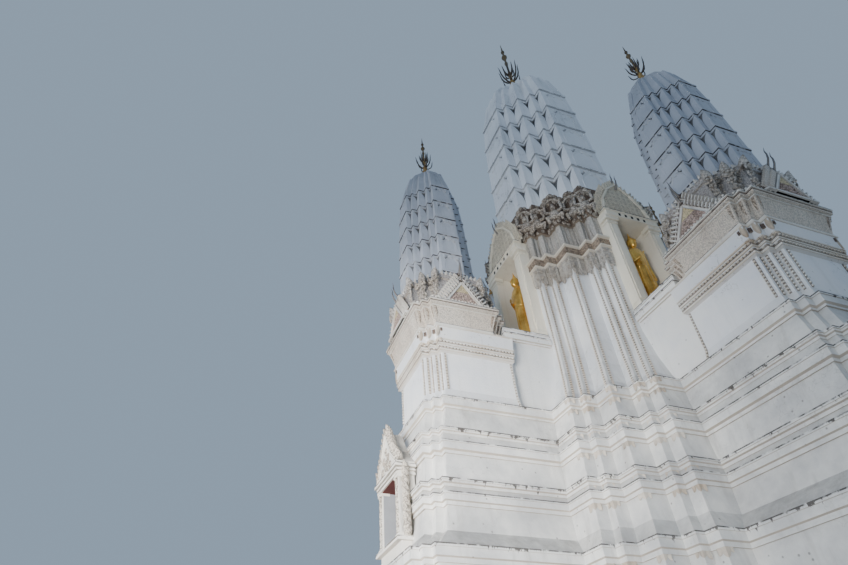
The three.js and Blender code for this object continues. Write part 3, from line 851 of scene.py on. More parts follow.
redent_stucco = masonry("redent stucco", (0.72, 0.61, 0.50), (0.46, 0.33, 0.24), (0.12, 0.08, 0.06),
                        streak_strength=0.7, soot=0.9, relief=0.03, carving=40.0, hollow=0.6)
dress([f"satellite_frieze_{side}" for side in SIDES], frieze_stucco)
on_four_arms(hung_leaves, "frieze_leaves", redent_stucco)

# Satellite attics: a block of stuccoed brick between the frieze and the spire. Each face has a
# steep double gable with a comb of white teeth along its slopes, a pink and ochre tympanum and
# two horns over its peaks. The stepped corners carry stacks of curled leaves.

ATTIC_FOOT, ATTIC_TOP = 6.93, 7.70
ATTIC_HALF = 0.80
ATTIC_STEPS = (0.0, 0.18, 0.36)
GABLES = ((0.42, 0.66, -0.022), (0.34, 0.50, 0.004))


def slender_horn(height, sweep, thick):
    """A thin horn that stands at the origin, leans a little along +X and ends in a point."""
    horn = begin_form(bpy.ops.mesh.primitive_circle_add, vertices=7, radius=thick, fill_type="NGON")
    bends = ((0.20, 0.15, 1.2), (0.62, 0.36, 1.0), (0.80, 0.60, 0.75), (0.78, 0.82, 0.45),
             (1.0, 1.0, 0.08))
    draw_up([(x * sweep, z * height, size) for x, z, size in bends])
    end_edit()
    return smooth(horn, 60)


def gable_panel(half, foot, peak, back, front):
    """A three-cornered panel that faces +X."""
    return solid_through([[(x, -half, foot), (x, half, foot), (x, 0, peak)] for x in (back, front)])


def raking_strip(start, end, wide, back, front):
    """A straight border that faces +X, from one point (y, z) to another, its inner side sunk."""
    start, end = Vector(start), Vector(end)
    across = Vector((-(end - start).y, (end - start).x)).normalized() * wide / 2
    corners = (start - across, end - across, end + across, start + across)
    strip = solid_through([[(x, point.x, point.y) for point in corners] for x in (back, front)])
    begin_edit(strip)
    pick_faces(strip, lambda centre, normal: abs(normal.x) > 0.9 and centre.x > (back + front) / 2)
    bpy.ops.mesh.inset(thickness=wide * 0.25, depth=-wide * 0.18)
    end_edit()
    return strip


def slope_teeth(half, peak, front, long, pitch):
    """Upright teeth that stand along both slopes of a gable that faces +X."""
    tilt = math.atan2(peak, half)
    tooth = cast_block(0.040, 0.036, long, 0.6)
    matrices = []
    count = int(math.hypot(half, peak) / pitch)
    for side in (1, -1):
        for i in range(count):
            share = (i + 0.5) / count
            lift = tilt - 0.25
            out = Vector((0, side * math.sin(lift), math.cos(lift))) * (0.02 + long / 2)
            matrices.append(posed((front, side * half * (1 - share) + out.y, peak * share + out.z),
                                  tilt=-side * lift))
    teeth = place_copies(tooth, matrices)
    discard(tooth)
    return teeth


def corner_stack(curl, leaf, seed):
    """Stacked curls and leaves over one stepped corner, in the +X +Y quarter of the attic."""
    chance = random.Random(seed)
    matrices, leaf_matrices = [], []
    corners = stepped_corners(ATTIC_HALF, ATTIC_HALF + 0.02, ATTIC_STEPS)[:5]
    for i, (x, y) in enumerate(corners):
        facing = math.radians((8, 24, 45, 66, 82)[i])
        inner = i % 2 == 1
        for level in range(5):
            z = ATTIC_FOOT + 0.085 + 0.132 * level + (0.05 if inner else 0.0)
            size = ((0.16, 0.14, 0.13, 0.14, 0.18)[level] * (0.85 if inner else 1.0)
                    * chance.uniform(0.9, 1.15))
            reach = (-0.01, -0.02, -0.01, 0.0, 0.03)[level] + (0.01 if inner else 0.0)
            matrices.append(posed((x + reach * math.cos(facing), y + reach * math.sin(facing), z),
                                  facing + chance.uniform(-0.3, 0.3), chance.uniform(-0.7, 0.7),
                                  (size, size * (1 if i < 3 else -1), size)))
        if not inner:
            leaf_matrices.append(posed((x, y, ATTIC_TOP - 0.12), facing,
                                       sizes=(0.07, 0.15, 0.20)))
    return turn_outward(join_pieces([place_copies(curl, matrices),
                                     place_copies(leaf, leaf_matrices)]))


faces = []
for turn in range(4):
    reach = 0.885 if turn % 2 == 0 else 0.925
    faces.append(Matrix.Translation((ARM, 0, 0)) @ quarter_turn(turn)
                 @ Matrix.Translation((reach, 0, ATTIC_FOOT)))
white_parts, dark_parts = [], []
for half, peak, ahead in GABLES:
    # A dark panel behind each gable's teeth: painted shade of the gaps between them.
    dark_parts.append(gable_panel(half + 0.085, 0.045, peak + 0.16, ahead - 0.05, ahead + 0.008))
    white_parts.append(slope_teeth(half, peak, ahead + 0.020, 0.120, 0.068))
    for side in (1, -1):
        white_parts.append(raking_strip((side * half, 0.0), (0.0, peak), 0.045, ahead - 0.02,
                                        ahead + 0.042))
sill = ((-0.05, -0.50), (0.04, -0.47), (0.04, 0.47), (-0.05, 0.50))
white_parts.append(solid_through([[(x, y, z) for x, y in sill] for z in (0.0, 0.035)]))
relief = []
for y, z, wide in ((0.0, 0.12, 0.15), (0.14, 0.09, 0.13), (-0.14, 0.09, 0.13), (0.08, 0.22, 0.11),
                   (-0.08, 0.22, 0.11)):
    relief.append(posed((0.022, y, z), tilt=0.6 if y > 0 else -0.6,
                        sizes=(0.07, wide * (1 if y > 0 else -1), wide)))
pink_face = turn_outward(join_pieces([gable_panel(0.31, 0.0, 0.455, -0.03, 0.018),
                                      place_copies(curl, relief)]))
ochre_face = gable_panel(0.125, 0.27, 0.455, -0.03, 0.026)
white_gable, dark_gable = join_pieces(white_parts), join_pieces(dark_parts)

white_gables, dark_gables, pink_faces, ochre_faces = [
    place_copies(piece, faces) for piece in (white_gable, dark_gable, pink_face, ochre_face)]
discard(white_gable, dark_gable, pink_face, ochre_face)

quarter = corner_stack(curl, unit_leaf, 11)
stacks = place_copies(quarter, [Matrix.Translation((ARM, 0, 0)) @ quarter_turn(turn)
                                for turn in range(4)])
discard(quarter)
knob = pointed_leaf(0.06, 0.035, 0.085, ((0.4, 1.15), (0.75, 0.7), (1.0, 0.1)), sides=6)
top_knobs = set_out(knob, edge_places(stepped_corners(0.775, 0.81, ATTIC_STEPS), 0.075,
                                      ATTIC_TOP - 0.005))
foot_knobs = set_out(knob, edge_places(stepped_corners(0.80, 0.90, ATTIC_STEPS), 0.09, ATTIC_FOOT))
discard(knob)
knobs = join_pieces([top_knobs, foot_knobs])
knobs.data.transform(Matrix.Translation((ARM, 0, 0)))
attic_white = masonry("attic white", (0.80, 0.79, 0.77), (0.60, 0.57, 0.53), (0.22, 0.17, 0.14),
                      streak_strength=0.5, soot=0.8, grain=60.0, relief=0.02)
attic_stucco = masonry("attic stucco", (0.72, 0.69, 0.65), (0.48, 0.43, 0.38), (0.12, 0.09, 0.07),
                       streak_strength=0.6, soot=0.8, grain=60.0, relief=0.02, carving=30.0,
                       hollow=0.5)
attic_wall = masonry("attic wall", (0.60, 0.59, 0.60), (0.46, 0.41, 0.38), (0.20, 0.15, 0.13),
                     streak_strength=0.5, grain=60.0, relief=0.02, carving=44.0, hollow=0.4)
tympanum_pink = masonry("tympanum pink", (0.66, 0.50, 0.44), (0.52, 0.38, 0.32), (0.24, 0.16, 0.13),
                        grain=60.0, relief=0.03, carving=40.0, hollow=0.6)
apex_ochre = masonry("apex ochre", (0.74, 0.63, 0.40), (0.58, 0.46, 0.27), (0.30, 0.19, 0.08),
                     grain=60.0, relief=0.02, carving=40.0, hollow=0.4)
dress([f"satellite_attic_{side}" for side in SIDES], attic_wall)
on_four_arms(join_pieces([white_gables, knobs]), "attic_gables", attic_white)
on_four_arms(dark_gables, "attic_gable_grooves", groove_painted_shade)
on_four_arms(pink_faces, "attic_tympanums", tympanum_pink)
on_four_arms(ochre_faces, "attic_apexes", apex_ochre)
on_four_arms(stacks, "attic_scrolls", attic_stucco)

horn = slender_horn(0.36, 0.10, 0.016)
attic_horns = place_copies(horn, [face @ Matrix.Translation((ahead + 0.01, 0, peak + 0.08))
                                  for face in faces for _, peak, ahead in GABLES])
horn_lead = masonry("horn metal", (0.16, 0.16, 0.17), (0.09, 0.09, 0.10),
                    (0.05, 0.04, 0.04), roughness=0.6)
on_four_arms(attic_horns, "attic_horns", horn_lead)

# Satellite spires: seven tiers of brick under limewash, coloured darker and bluer than the
# central spire's as painted shade. Each tier is a recessed wall with a broad pointed leaf standing
# at every projecting corner, a flat plaque between small lobes on each axis, and a double cornice
# over them. The top row of leaves stands free round a closed bud.

SPIRE_SHARES = (0.0, 0.16, 0.33, 0.54, 0.67)
PLAQUE_SHARE = 0.44
SATELLITE_TIERS = ((7.70, 0.745), (7.93, 0.742), (8.45, 0.730), (8.98, 0.718), (9.52, 0.703),
                   (10.065, 0.682), (10.625, 0.645), (11.30, 0.500))
SATELLITE_BUD = ((11.12, 0.47), (11.35, 0.43), (11.56, 0.33), (11.73, 0.20), (11.84, 0.09))


def stepped_body(profile, shares, x0=0.0, notch=None):
    """A closed body on a stepped plan, drawn up level by level."""
    level, half = profile[0]
    body = begin_form(bpy.ops.mesh.primitive_plane_add, size=2 * half, location=(x0, 0, level))
    cuts = [half * (1 - share) for share in shares[1:]]
    if notch:
        cuts += list(notch)
    for cut in cuts:
        for side in (1, -1):
            for axis in ((1, 0, 0), (0, 1, 0)):
                bpy.ops.mesh.select_all(action="SELECT")
                bpy.ops.mesh.bisect(plane_co=(x0 + side * cut, side * cut, level), plane_no=axis)

    def outside(point, normal):
        x, y = abs(point.x - x0) / half, abs(point.y) / half
        last = len(shares) - 1
        within = any(x < 1 - shares[k] and y < 1 - shares[last - k] for k in range(last + 1))
        if notch and min(x, y) * half < notch[0] and max(x, y) * half > notch[1]:
            return True
        return not within

    pick_faces(body, outside)
    bpy.ops.mesh.delete(type="FACE")
    bpy.ops.mesh.select_all(action="SELECT")
    draw_up([(x0, *step) for step in profile[1:]], x0, level, half)
    end_edit()
    return body


def spire_profile(tiers, bud, recess, cornice):
    """Heights and half widths of a spire: recessed walls, double cornices, then the bud."""
    profile = [(tiers[0][0], tiers[0][1] - recess)]
    for level, half in tiers[1:-1]:
        profile += [
            (level - cornice, half - recess),
            (level - cornice, half - 0.42 * recess),
            (level - 0.62 * cornice, half - 0.30 * recess),
            (level - 0.62 * cornice, half - 0.62 * recess),
            (level - 0.50 * cornice, half - 0.62 * recess),
            (level - 0.50 * cornice, half - 0.05 * recess),
            (level - 0.06 * cornice, half),
            (level, half - 0.1 * recess),
            (level, half - recess),
        ]
    return profile + list(bud)


def tier_rows(tiers):
    """Each tier's foot, half width, head and half width there, and whether it is the highest."""
    for (foot, half), (head, next_half) in zip(tiers, tiers[1:]):
        yield foot, half, head, next_half, head == tiers[-1][0]


def spire_leaves(leaf, crown_leaf, tiers, cornice, centre_x):
    """One leaf on every projecting corner of every tier, leaning in with the spire."""
    places, crown_places = [], []
    widths = (0.216, 0.252, 0.290, 0.252, 0.216)
    last = len(SPIRE_SHARES) - 1
    for foot, half, head, next_half, crown in tier_rows(tiers):
        tall = head - foot - (0 if crown else 0.8 * cornice)
        for quarter in range(4):
            for k in range(last + 1):
                corner = Vector((1 - SPIRE_SHARES[k], 1 - SPIRE_SHARES[last - k]))
                depth = 0.49 * widths[k] * half
                place = corner * half - Vector((1, 1)).normalized() * (depth + 0.008 + 0.020 * half)
                lean = corner * (next_half - half) * tall / (head - foot)
                wide = widths[k] * half * (1.12 if crown else 1.0)
                matrix = (Matrix.Translation((centre_x, 0, foot)) @ quarter_turn(quarter)
                          @ Matrix.Translation((place.x, place.y, 0))
                          @ leaning(lean.x / tall, lean.y / tall)
                          @ posed((0, 0, 0), math.pi / 4, sizes=(depth, wide, tall)))
                (crown_places if crown else places).append(matrix)
    return join_pieces([place_copies(leaf, places), place_copies(crown_leaf, crown_places)])


def axis_plaque():
    """A flat plaque that faces +X, one unit tall and wide: square below, pointed above."""
    plaque = begin_form(bpy.ops.mesh.primitive_cube_add, size=1, location=(0, 0, 0.5))
    bpy.ops.mesh.bisect(plane_co=(0, 0, 0), plane_no=(0, 1, 0))
    for height in (0.45, 0.72):
        bpy.ops.mesh.select_all(action="SELECT")
        bpy.ops.mesh.bisect(plane_co=(0, 0, height), plane_no=(0, 0, 1))
    mesh = bmesh.from_edit_mesh(plaque.data)
    for vertex in mesh.verts:
        if vertex.co.z > 0.9 and abs(vertex.co.y) > 0.1:
            vertex.co.y *= 0.30
            vertex.co.z = 0.93
        elif vertex.co.z > 0.6:
            vertex.co.y *= 0.78
    bmesh.update_edit_mesh(plaque.data)
    pick_faces(plaque, lambda centre, normal: normal.x > 0.9)
    bpy.ops.mesh.inset(thickness=0.09, depth=-0.18)
    end_edit()
    return plaque


def spire_plaques(plaque, leaf, tiers, recess, cornice, centre_x):
    """The flat plaques on the four axes, with lobes beside them and hung under each cornice."""
    matrices, lobes = [], []
    for foot, half, head, next_half, crown in tier_rows(tiers):
        tall = head - foot - (0 if crown else cornice)
        for quarter in range(4):
            face = (Matrix.Translation((centre_x, 0, foot)) @ quarter_turn(quarter)
                    @ leaning((next_half - half) / (head - foot)))
            matrices.append(face @ posed((half - 0.6 * recess - 0.01, 0, 0),
                                         sizes=(1.2 * recess, PLAQUE_SHARE * half, tall)))
            if crown:
                continue
            wall = half - 0.75 * recess
            for side in (1, -1):
                lobes.append(face @ posed((wall, side * 0.275 * half, 0),
                                          sizes=(0.4 * recess, 0.10 * half, 0.62 * tall)))
            for side in (1, 0, -1):
                lobes.append(face @ posed((wall, side * 0.20 * half, tall + 0.004),
                                          sizes=(0.55 * recess, 0.19 * half, -0.20 * tall)))
    return join_pieces([place_copies(plaque, matrices), turn_outward(place_copies(leaf, lobes))])


def shade_recesses(piece, tiers, cornice, recess_material):
    """Paints the walls behind the leaves with a darker material, as painted shade."""
    piece.data.materials.append(recess_material)
    for polygon in piece.data.polygons:
        z = polygon.center.z
        for (foot, _), (head, _) in zip(tiers, tiers[1:]):
            if foot + 0.01 < z < head - cornice - 0.003 and abs(polygon.normal.z) < 0.5:
                polygon.material_index = 1


def spire_finish(name, tiers, drop, pale, deep):
    # The dark lines under each cornice at the drip levels, and the faces turned down, are painted
    # shade.
    return masonry(name, pale, deep, (0.20, 0.20, 0.20),
                   [(level - drop, 0.5 * drop) for level, _ in tiers[1:-1]], streak_strength=0.4,
                   soot=0.3, grain=20.0, underside=0.35, cracks=0.5)


# Darker, bluer wash for the satellite spires: painted shade.
satellite_spire_shaded_wash = spire_finish("satellite spire limewash in painted shade", SATELLITE_TIERS, 0.045,
                              (0.53, 0.56, 0.62), (0.41, 0.44, 0.50))
# Painted shade: dark colour for the recessed walls between the spire leaves.
recess_painted_shade = masonry("recess painted shade", (0.20, 0.205, 0.215), (0.12, 0.12, 0.125),
                       (0.07, 0.06, 0.06), streak_strength=0.5)
plaque = axis_plaque()
spire_leaf = pointed_leaf(1.0, 1.0, 1.0, ((0.15, 1.02), (0.45, 1.0), (0.62, 0.93), (0.76, 0.76),
                                          (0.88, 0.50), (0.96, 0.20), (1.0, 0.03)), sides=4)
crown_leaf = pointed_leaf(1.0, 1.0, 1.0, ((0.25, 1.03), (0.6, 1.03), (0.80, 0.95), (0.91, 0.76),
                                          (0.97, 0.54), (1.0, 0.30)), sides=4)


def whole_spire(tiers, bud, recess, cornice, centre_x, finish):
    """The body, leaves and plaques of a spire as one piece, with painted shade on the walls behind.
    """
    shell = stepped_body(spire_profile(tiers, bud, recess, cornice), SPIRE_SHARES, centre_x)
    shell.data.materials.append(finish)
    shade_recesses(shell, tiers, cornice, recess_painted_shade)
    leaves = spire_leaves(spire_leaf, crown_leaf, tiers, cornice, centre_x)
    plaques = spire_plaques(plaque, unit_leaf, tiers, recess, cornice, centre_x)
    for part in (leaves, plaques):
        part.data.materials.append(finish)
    return join_pieces([shell, leaves, plaques])


satellite_top = whole_spire(SATELLITE_TIERS, SATELLITE_BUD, 0.050, 0.098, ARM, satellite_spire_shaded_wash)
on_four_arms(satellite_top, "spire_tiers", hides="satellite_spire")

# The central tower's shaft: limewashed masonry with a flared foot. Every projecting corner has a
# raised white strip between two strips painted dark as the shade of grooves, crossed by small
# dentils, from foot to cornice.

SHAFT_PROFILE = ((5.07, 2.08), (5.35, 1.95), (5.80, 1.83), (6.40, 1.735), (6.83, 1.70),
                 (8.43, 1.70))
SHAFT_HALF = 1.70
STRIP_LEVELS = (5.35, 5.8, 6.4, 6.83, 8.20)
ROW_LEVELS = [5.15 + 0.057 * i for i in range(53)]
PORCH_HALF = 0.62


def shaft_grow(level):
    """How far the flared shaft stands out from its upright part."""
    return half_at(SHAFT_PROFILE, level) - SHAFT_HALF


def clear_of_porch(places, half=PORCH_HALF + 0.02):
    return [place for place in places if min(abs(place[0]), abs(place[1])) > half]


def corner_strip(corner):
    """A square strip that follows one projecting corner of the flared shaft."""
    x, y = corner
    outlines = []
    for level in (5.10, *STRIP_LEVELS):
        grow = shaft_grow(level)
        outlines.append([(x + grow + across, y + grow + along, level) for across, along in (
            (-0.034, -0.034), (0.020, -0.034), (0.020, 0.020), (-0.034, 0.020))])
    return solid_through(outlines)


strips = four_ways(join_pieces([corner_strip(tower_corner(SHAFT_HALF, 0, k))
                                for k in range(5)]))
dentil = cast_block(0.052, 0.052, 0.032)
dark_rows, places = [], []
tower_rows = corner_rows(stepped_corners(SHAFT_HALF, SHAFT_HALF, TOWER_STEPS), 0.064)
for x, y, facing, sign in clear_of_porch(tower_rows, 0.66):
    def shift(level, sign=sign):
        return (sign[0] * shaft_grow(level), sign[1] * shaft_grow(level))
    dark_rows.append(groove_strip(x, y, facing, (5.12, *STRIP_LEVELS), shift, 0.036, 0.012))
    for level in ROW_LEVELS:
        across, along = shift(level)
        places.append((x + across, y + along, level, facing))
strip_white = masonry("strip white", (0.84, 0.84, 0.83), (0.70, 0.70, 0.70), (0.24, 0.19, 0.15),
                      streak_strength=0.35, soot=0.8)
hand_over(strips, "tower_strips", strip_white)
hand_over(set_out(dentil, places), "tower_dentils", dentil_stucco)
hand_over(join_pieces(dark_rows), "tower_grooves", groove_painted_shade)
discard(dentil)
tower_wash = masonry("tower limewash", (0.87, 0.87, 0.87), (0.72, 0.74, 0.77), GREY_STREAK,
                     streak_strength=0.35, cracks=0.3, pocks=0.2)
dress(["tower_shaft"], tower_wash)

# The tower's capital: a brown-stained cornice of render with white edges that zigzag round the
# plan, a carved collar with pointed shields of cast leaf work hung under it, and a frieze of
# narrow hanging leaves over it.

CORNICE_FOOT, FIGURES_FOOT = 8.43, 9.37
NICHE_NOTCH = (0.40, 1.25)


def tower_corner_places(half, level, inset, sizes):
    """One place on each of the twenty projecting corners, facing out along the diagonal."""
    places = []
    for quarter in range(4):
        for k in range(5):
            point = tower_corner(half, quarter, k)
            facing = quarter * math.pi / 2 + math.pi / 4
            places.append((point.x - inset * math.cos(facing), point.y - inset * math.sin(facing),
                           level, facing, sizes))
    return places


def tower_edge_places(half, pitch, level, sizes=(1, 1, 1)):
    """Places along the tower's stepped edge between the porches."""
    run = edge_places(stepped_corners(half, half, TOWER_STEPS), pitch, level)
    return [(*place, sizes) for place in clear_of_porch(run)]


def tower_course(*profile):
    """A course round the tower on its stepped plan, open at the niches."""
    return stepped_body(profile, [step / profile[0][1] for step in TOWER_STEPS],
                        notch=NICHE_NOTCH)


edges = [tower_course((foot, half - 0.05), (foot + 0.022, half), (head, half))
         for foot, head, half in (
             (8.290, 8.320, 1.750), (8.405, 8.455, 1.780), (8.630, 8.690, 1.805))]
edge_cream = masonry("cornice edge", (0.82, 0.78, 0.68), (0.70, 0.64, 0.54),
                     (0.30, 0.22, 0.16), soot=0.8)
hand_over(join_pieces(edges), "cornice_edges", edge_cream)
cornice_stain = masonry("cornice stain", (0.46, 0.36, 0.27), (0.28, 0.21, 0.16), (0.10, 0.07, 0.05),
                        streak_strength=0.6, grain=60.0, relief=0.03, carving=30.0, hollow=0.6)
dress(["tower_cornice"], cornice_stain)

shield = pointed_leaf(1.0, 1.0, 1.0, ((0.12, 1.10), (0.45, 1.06), (0.68, 0.86), (0.85, 0.52),
                                      (1.0, 0.05)), sides=4)
frieze_leaf = pointed_leaf(1.0, 1.0, 1.0, ((0.35, 1.06), (0.70, 0.86), (0.90, 0.45), (1.0, 0.05)),
                           sides=5)
shields = tower_corner_places(1.70, CORNICE_FOOT, 0.118, (0.140, 0.30, -0.58))
shields += tower_edge_places(1.69, 0.16, CORNICE_FOOT, (0.070, 0.15, -0.44))
hanging = tower_corner_places(1.665, FIGURES_FOOT + 0.02, 0.055, (0.078, 0.15, -0.66))
for level, tall in ((FIGURES_FOOT, 0.30), (9.16, 0.28), (8.95, 0.26)):
    hanging += tower_edge_places(1.65, 0.082, level, (0.042, 0.085, -tall))
for k, (*place, _) in enumerate(tower_edge_places(1.725, 0.085, 8.08)):
    hanging.append((*place, (0.030, 0.090, -0.16 if k % 2 else -0.12)))
scroll_pairs = []
for level, wide in ((CORNICE_FOOT - 0.10, 0.09), (CORNICE_FOOT - 0.27, 0.08),
                    (CORNICE_FOOT - 0.40, 0.06)):
    for x, y, z, facing, _ in tower_corner_places(1.70, level, -0.02, (1, 1, 1)):
        for side in (1, -1):
            shift = Vector((-math.sin(facing), math.cos(facing))) * side * wide * 0.6
            scroll_pairs.append(posed((x + shift.x, y + shift.y, z), facing,
                                      sizes=(wide, side * wide, wide)))
collar = tower_course((8.06, 1.722), (8.12, 1.734), (8.41, 1.742))
capital_leaves = turn_outward(join_pieces([collar, set_out(shield, shields),
                                           set_out(frieze_leaf, hanging),
                                           place_copies(curl, scroll_pairs)]))
capital_stucco = masonry("capital stucco", (0.67, 0.64, 0.60), (0.47, 0.42, 0.36),
                         (0.18, 0.14, 0.11), streak_strength=0.5, soot=0.9, relief=0.03,
                         carving=46.0, hollow=0.34)
hand_over(capital_leaves, "capital_leaves", capital_stucco)
frieze_shade = masonry("frieze shade", (0.60, 0.57, 0.52), (0.40, 0.35, 0.30), (0.14, 0.11, 0.09),
                       streak_strength=0.6, grain=50.0, relief=0.03)
dress(["tower_frieze"], frieze_shade)
discard(shield)

# The figure band: squat bearers of cast stucco with raised arms, one under a small arch at each
# projecting corner, among curls of leaf work. The band behind them is dark brown: rain stain and
# painted shade.


def limb(start, end, thick, thin):
    """A tapering round member from one point to another."""
    start, end = Vector(start), Vector(end)
    bpy.ops.object.select_all(action="DESELECT")
    bpy.ops.mesh.primitive_cone_add(vertices=8, radius1=thick, radius2=thin,
                                    depth=(end - start).length, location=(start + end) / 2,
                                    rotation=(end - start).to_track_quat("Z", "Y").to_euler())
    return settle(bpy.context.object)


def bearer():
    """A squat bearer that faces +X, about one unit tall, with its feet at the origin."""
    parts = [
        round_form((0.0, 0, 0.42), (0.15, 0.19, 0.20)),
        round_form((0.03, 0, 0.26), (0.16, 0.20, 0.12)),
        round_form((0.06, 0, 0.68), (0.10, 0.10, 0.12)),
        limb((0.05, 0, 0.76), (0.03, 0, 1.0), 0.09, 0.012),
    ]
    for side in (1, -1):
        parts += [
            limb((0.0, side * 0.17, 0.54), (0.10, side * 0.33, 0.50), 0.07, 0.05),
            limb((0.10, side * 0.33, 0.48), (0.08, side * 0.30, 0.88), 0.055, 0.045),
            round_form((0.09, side * 0.30, 0.90), (0.07, 0.08, 0.05), 6, 4),
            limb((0.04, side * 0.10, 0.24), (0.16, side * 0.30, 0.20), 0.09, 0.065),
            limb((0.16, side * 0.30, 0.23), (0.08, side * 0.24, 0.0), 0.07, 0.05),
        ]
    return smooth(join_pieces(parts), 50)


def leaf_arch():
    """Half a ring that faces +X, one unit wide, with its ends closed."""
    arch = begin_form(bpy.ops.mesh.primitive_torus_add, major_segments=12, minor_segments=5,
                      major_radius=0.5, minor_radius=0.07, rotation=(0, math.pi / 2, 0))
    bpy.ops.mesh.bisect(plane_co=(0, 0, -0.05), plane_no=(0, 0, 1), use_fill=True, clear_inner=True)
    bpy.ops.mesh.select_all(action="SELECT")
    bpy.ops.transform.resize(value=(1, 1, 1.35), center_override=(0, 0, 0))
    end_edit()
    return smooth(arch, 50)


figure, arch = bearer(), leaf_arch()
chance = random.Random(5)
band = set_out(figure, tower_corner_places(1.74, FIGURES_FOOT + 0.05, 0.05, (0.60, 0.54, 0.62)))
arches = set_out(arch, tower_corner_places(1.74, FIGURES_FOOT + 0.50, 0.03, (0.6, 0.36, 0.36)))
small_arches = set_out(arch, tower_edge_places(1.72, 0.20, 9.95, (0.6, 0.14, 0.15)))
wreath = []
for level, size, pitch in ((9.43, 0.11, 0.10), (9.57, 0.12, 0.15), (9.76, 0.11, 0.17),
                           (10.05, 0.13, 0.12), (10.17, 0.14, 0.11), (10.30, 0.14, 0.10)):
    half = 1.74 if level < 10.1 else 1.70
    for x, y, z, facing, _ in tower_edge_places(half, pitch, level):
        wide = size * chance.uniform(0.8, 1.25)
        wreath.append(posed((x, y, z + chance.uniform(-0.03, 0.03)),
                            facing + chance.uniform(-0.3, 0.3), chance.uniform(-1.2, 1.2),
                            (wide, wide, wide)))
figure_band = join_pieces([band, arches, small_arches, place_copies(curl, wreath)])
figure_stucco = masonry("figure stucco", (0.70, 0.66, 0.60), (0.44, 0.34, 0.26), (0.12, 0.08, 0.06),
                        streak_strength=0.8, soot=1.0, relief=0.03, carving=34.0, hollow=0.6)
# The band behind the figures: dark brown for rain stain and painted shade.
band_stain_and_shade = masonry("band stain and shade", (0.20, 0.14, 0.10), (0.11, 0.075, 0.055), (0.05, 0.035, 0.03),
                     streak_strength=0.7, soot=0.8, grain=50.0, relief=0.03)
hand_over(figure_band, "figure_band", figure_stucco)
dress(["tower_figures"], band_stain_and_shade)
discard(figure, arch)

# The four porches: cream-rendered jambs and lintel round each niche, with a steep stippled
# pediment. Flame leaves stand along its edges, a scroll at each foot, two dark horns on its peak,
# and a row of five small drain holes shows on the lintel. The niche is lined with smooth render.

LINTEL_FRONT, JAMB_FRONT, PEDIMENT_FRONT = 1.96, 1.90, 1.86
JAMB_MIDDLE, JAMB_HALF = 0.51, 0.11
NICHE_FOOT, NICHE_HALF = 6.83, 0.40
PEDIMENT_EDGE = ((0.62, 9.38), (0.527, 9.80), (0.31, 10.19), (0.0, 10.45))


def slab(near, far, left, right, foot, head):
    """A plain block between six flat faces."""
    return solid_through([[(near, left, z), (far, left, z), (far, right, z), (near, right, z)]
                          for z in (foot, head)])


def edge_flames(leaf, edge, front, pitch, sizes, lean):
    """Flame leaves that stand along both edges of a gable that faces +X."""
    flames = []
    for (y0, z0), (y1, z1) in zip(edge, edge[1:]):
        length = math.hypot(y1 - y0, z1 - z0)
        tilt = math.atan2(y0 - y1, z1 - z0)
        count = max(1, int(length / pitch))
        for i in range(count):
            share = (i + 0.5) / count
            for side in (1, -1):
                flames.append(posed((front, side * (y0 + (y1 - y0) * share),
                                     z0 + (z1 - z0) * share), tilt=side * (tilt - lean),
                                    sizes=sizes))
    return place_copies(leaf, flames)


def gable_border(edge, side, drop, wide, back, front):
    """Raking strips along one side of a gable that faces +X, set a little in from its edge."""
    return [raking_strip((side * (y0 - 0.03), z0), (side * max(y1 - 0.03, 0), z1 - drop), wide,
                         back, front) for (y0, z0), (y1, z1) in zip(edge, edge[1:])]


porch_parts = []
for side in (1, -1):
    for foot, tall, proud in ((NICHE_FOOT, 0.10, 0.05), (NICHE_FOOT + 0.10, 0.05, 0.025),
                              (9.02, 0.05, 0.02), (9.10, 0.10, 0.05)):
        mould = slab(JAMB_FRONT - 0.16, JAMB_FRONT + proud, side * JAMB_MIDDLE - JAMB_HALF - proud,
                     side * JAMB_MIDDLE + JAMB_HALF + proud, foot, foot + tall)
        begin_edit(mould)
        bpy.ops.mesh.select_all(action="SELECT")
        bpy.ops.mesh.bevel(offset=0.012, segments=2)
        end_edit()
        porch_parts.append(mould)
    porch_parts.append(slab(1.86, JAMB_FRONT + 0.014, side * JAMB_MIDDLE - 0.07,
                            side * JAMB_MIDDLE + 0.07, 7.02, 8.98))
    porch_parts += gable_border(PEDIMENT_EDGE, side, 0.02, 0.05, PEDIMENT_FRONT - 0.05,
                                PEDIMENT_FRONT + 0.045)
porch_parts.append(slab(1.80, LINTEL_FRONT + 0.02, -0.66, 0.66, 9.345, 9.385))
porch_parts.append(slab(1.80, LINTEL_FRONT + 0.015, -0.64, 0.64, 9.185, 9.212))
flames = edge_flames(unit_leaf, PEDIMENT_EDGE, PEDIMENT_FRONT - 0.03, 0.085, (0.050, 0.10, 0.20),
                     0.9)
relief = []
for row in range(7):
    level = 9.46 + 0.135 * row
    reach = next(y0 + (y1 - y0) * (level - z0) / (z1 - z0) for (y0, z0), (y1, z1)
                 in zip(PEDIMENT_EDGE, PEDIMENT_EDGE[1:]) if level <= z1)
    count = int((reach - 0.09) / 0.12)
    for i in range(-count, count + 1):
        wide = chance.uniform(0.09, 0.12)
        relief.append(posed((PEDIMENT_FRONT + 0.01, i * 0.12, level),
                            tilt=chance.uniform(-1.5, 1.5),
                            sizes=(0.06, wide * (1 if i > 0 else -1), wide)))
for side in (1, -1):
    for y, z, wide in ((0.66, 9.47, 0.26), (0.60, 9.66, 0.17)):
        relief.append(posed((PEDIMENT_FRONT - 0.02, side * y, z), tilt=side * 0.3,
                            sizes=(wide * 0.6, side * wide, wide)))
face_points = [(y, z) for y, z in PEDIMENT_EDGE] + [(-y, z) for y, z in PEDIMENT_EDGE[-2::-1]]
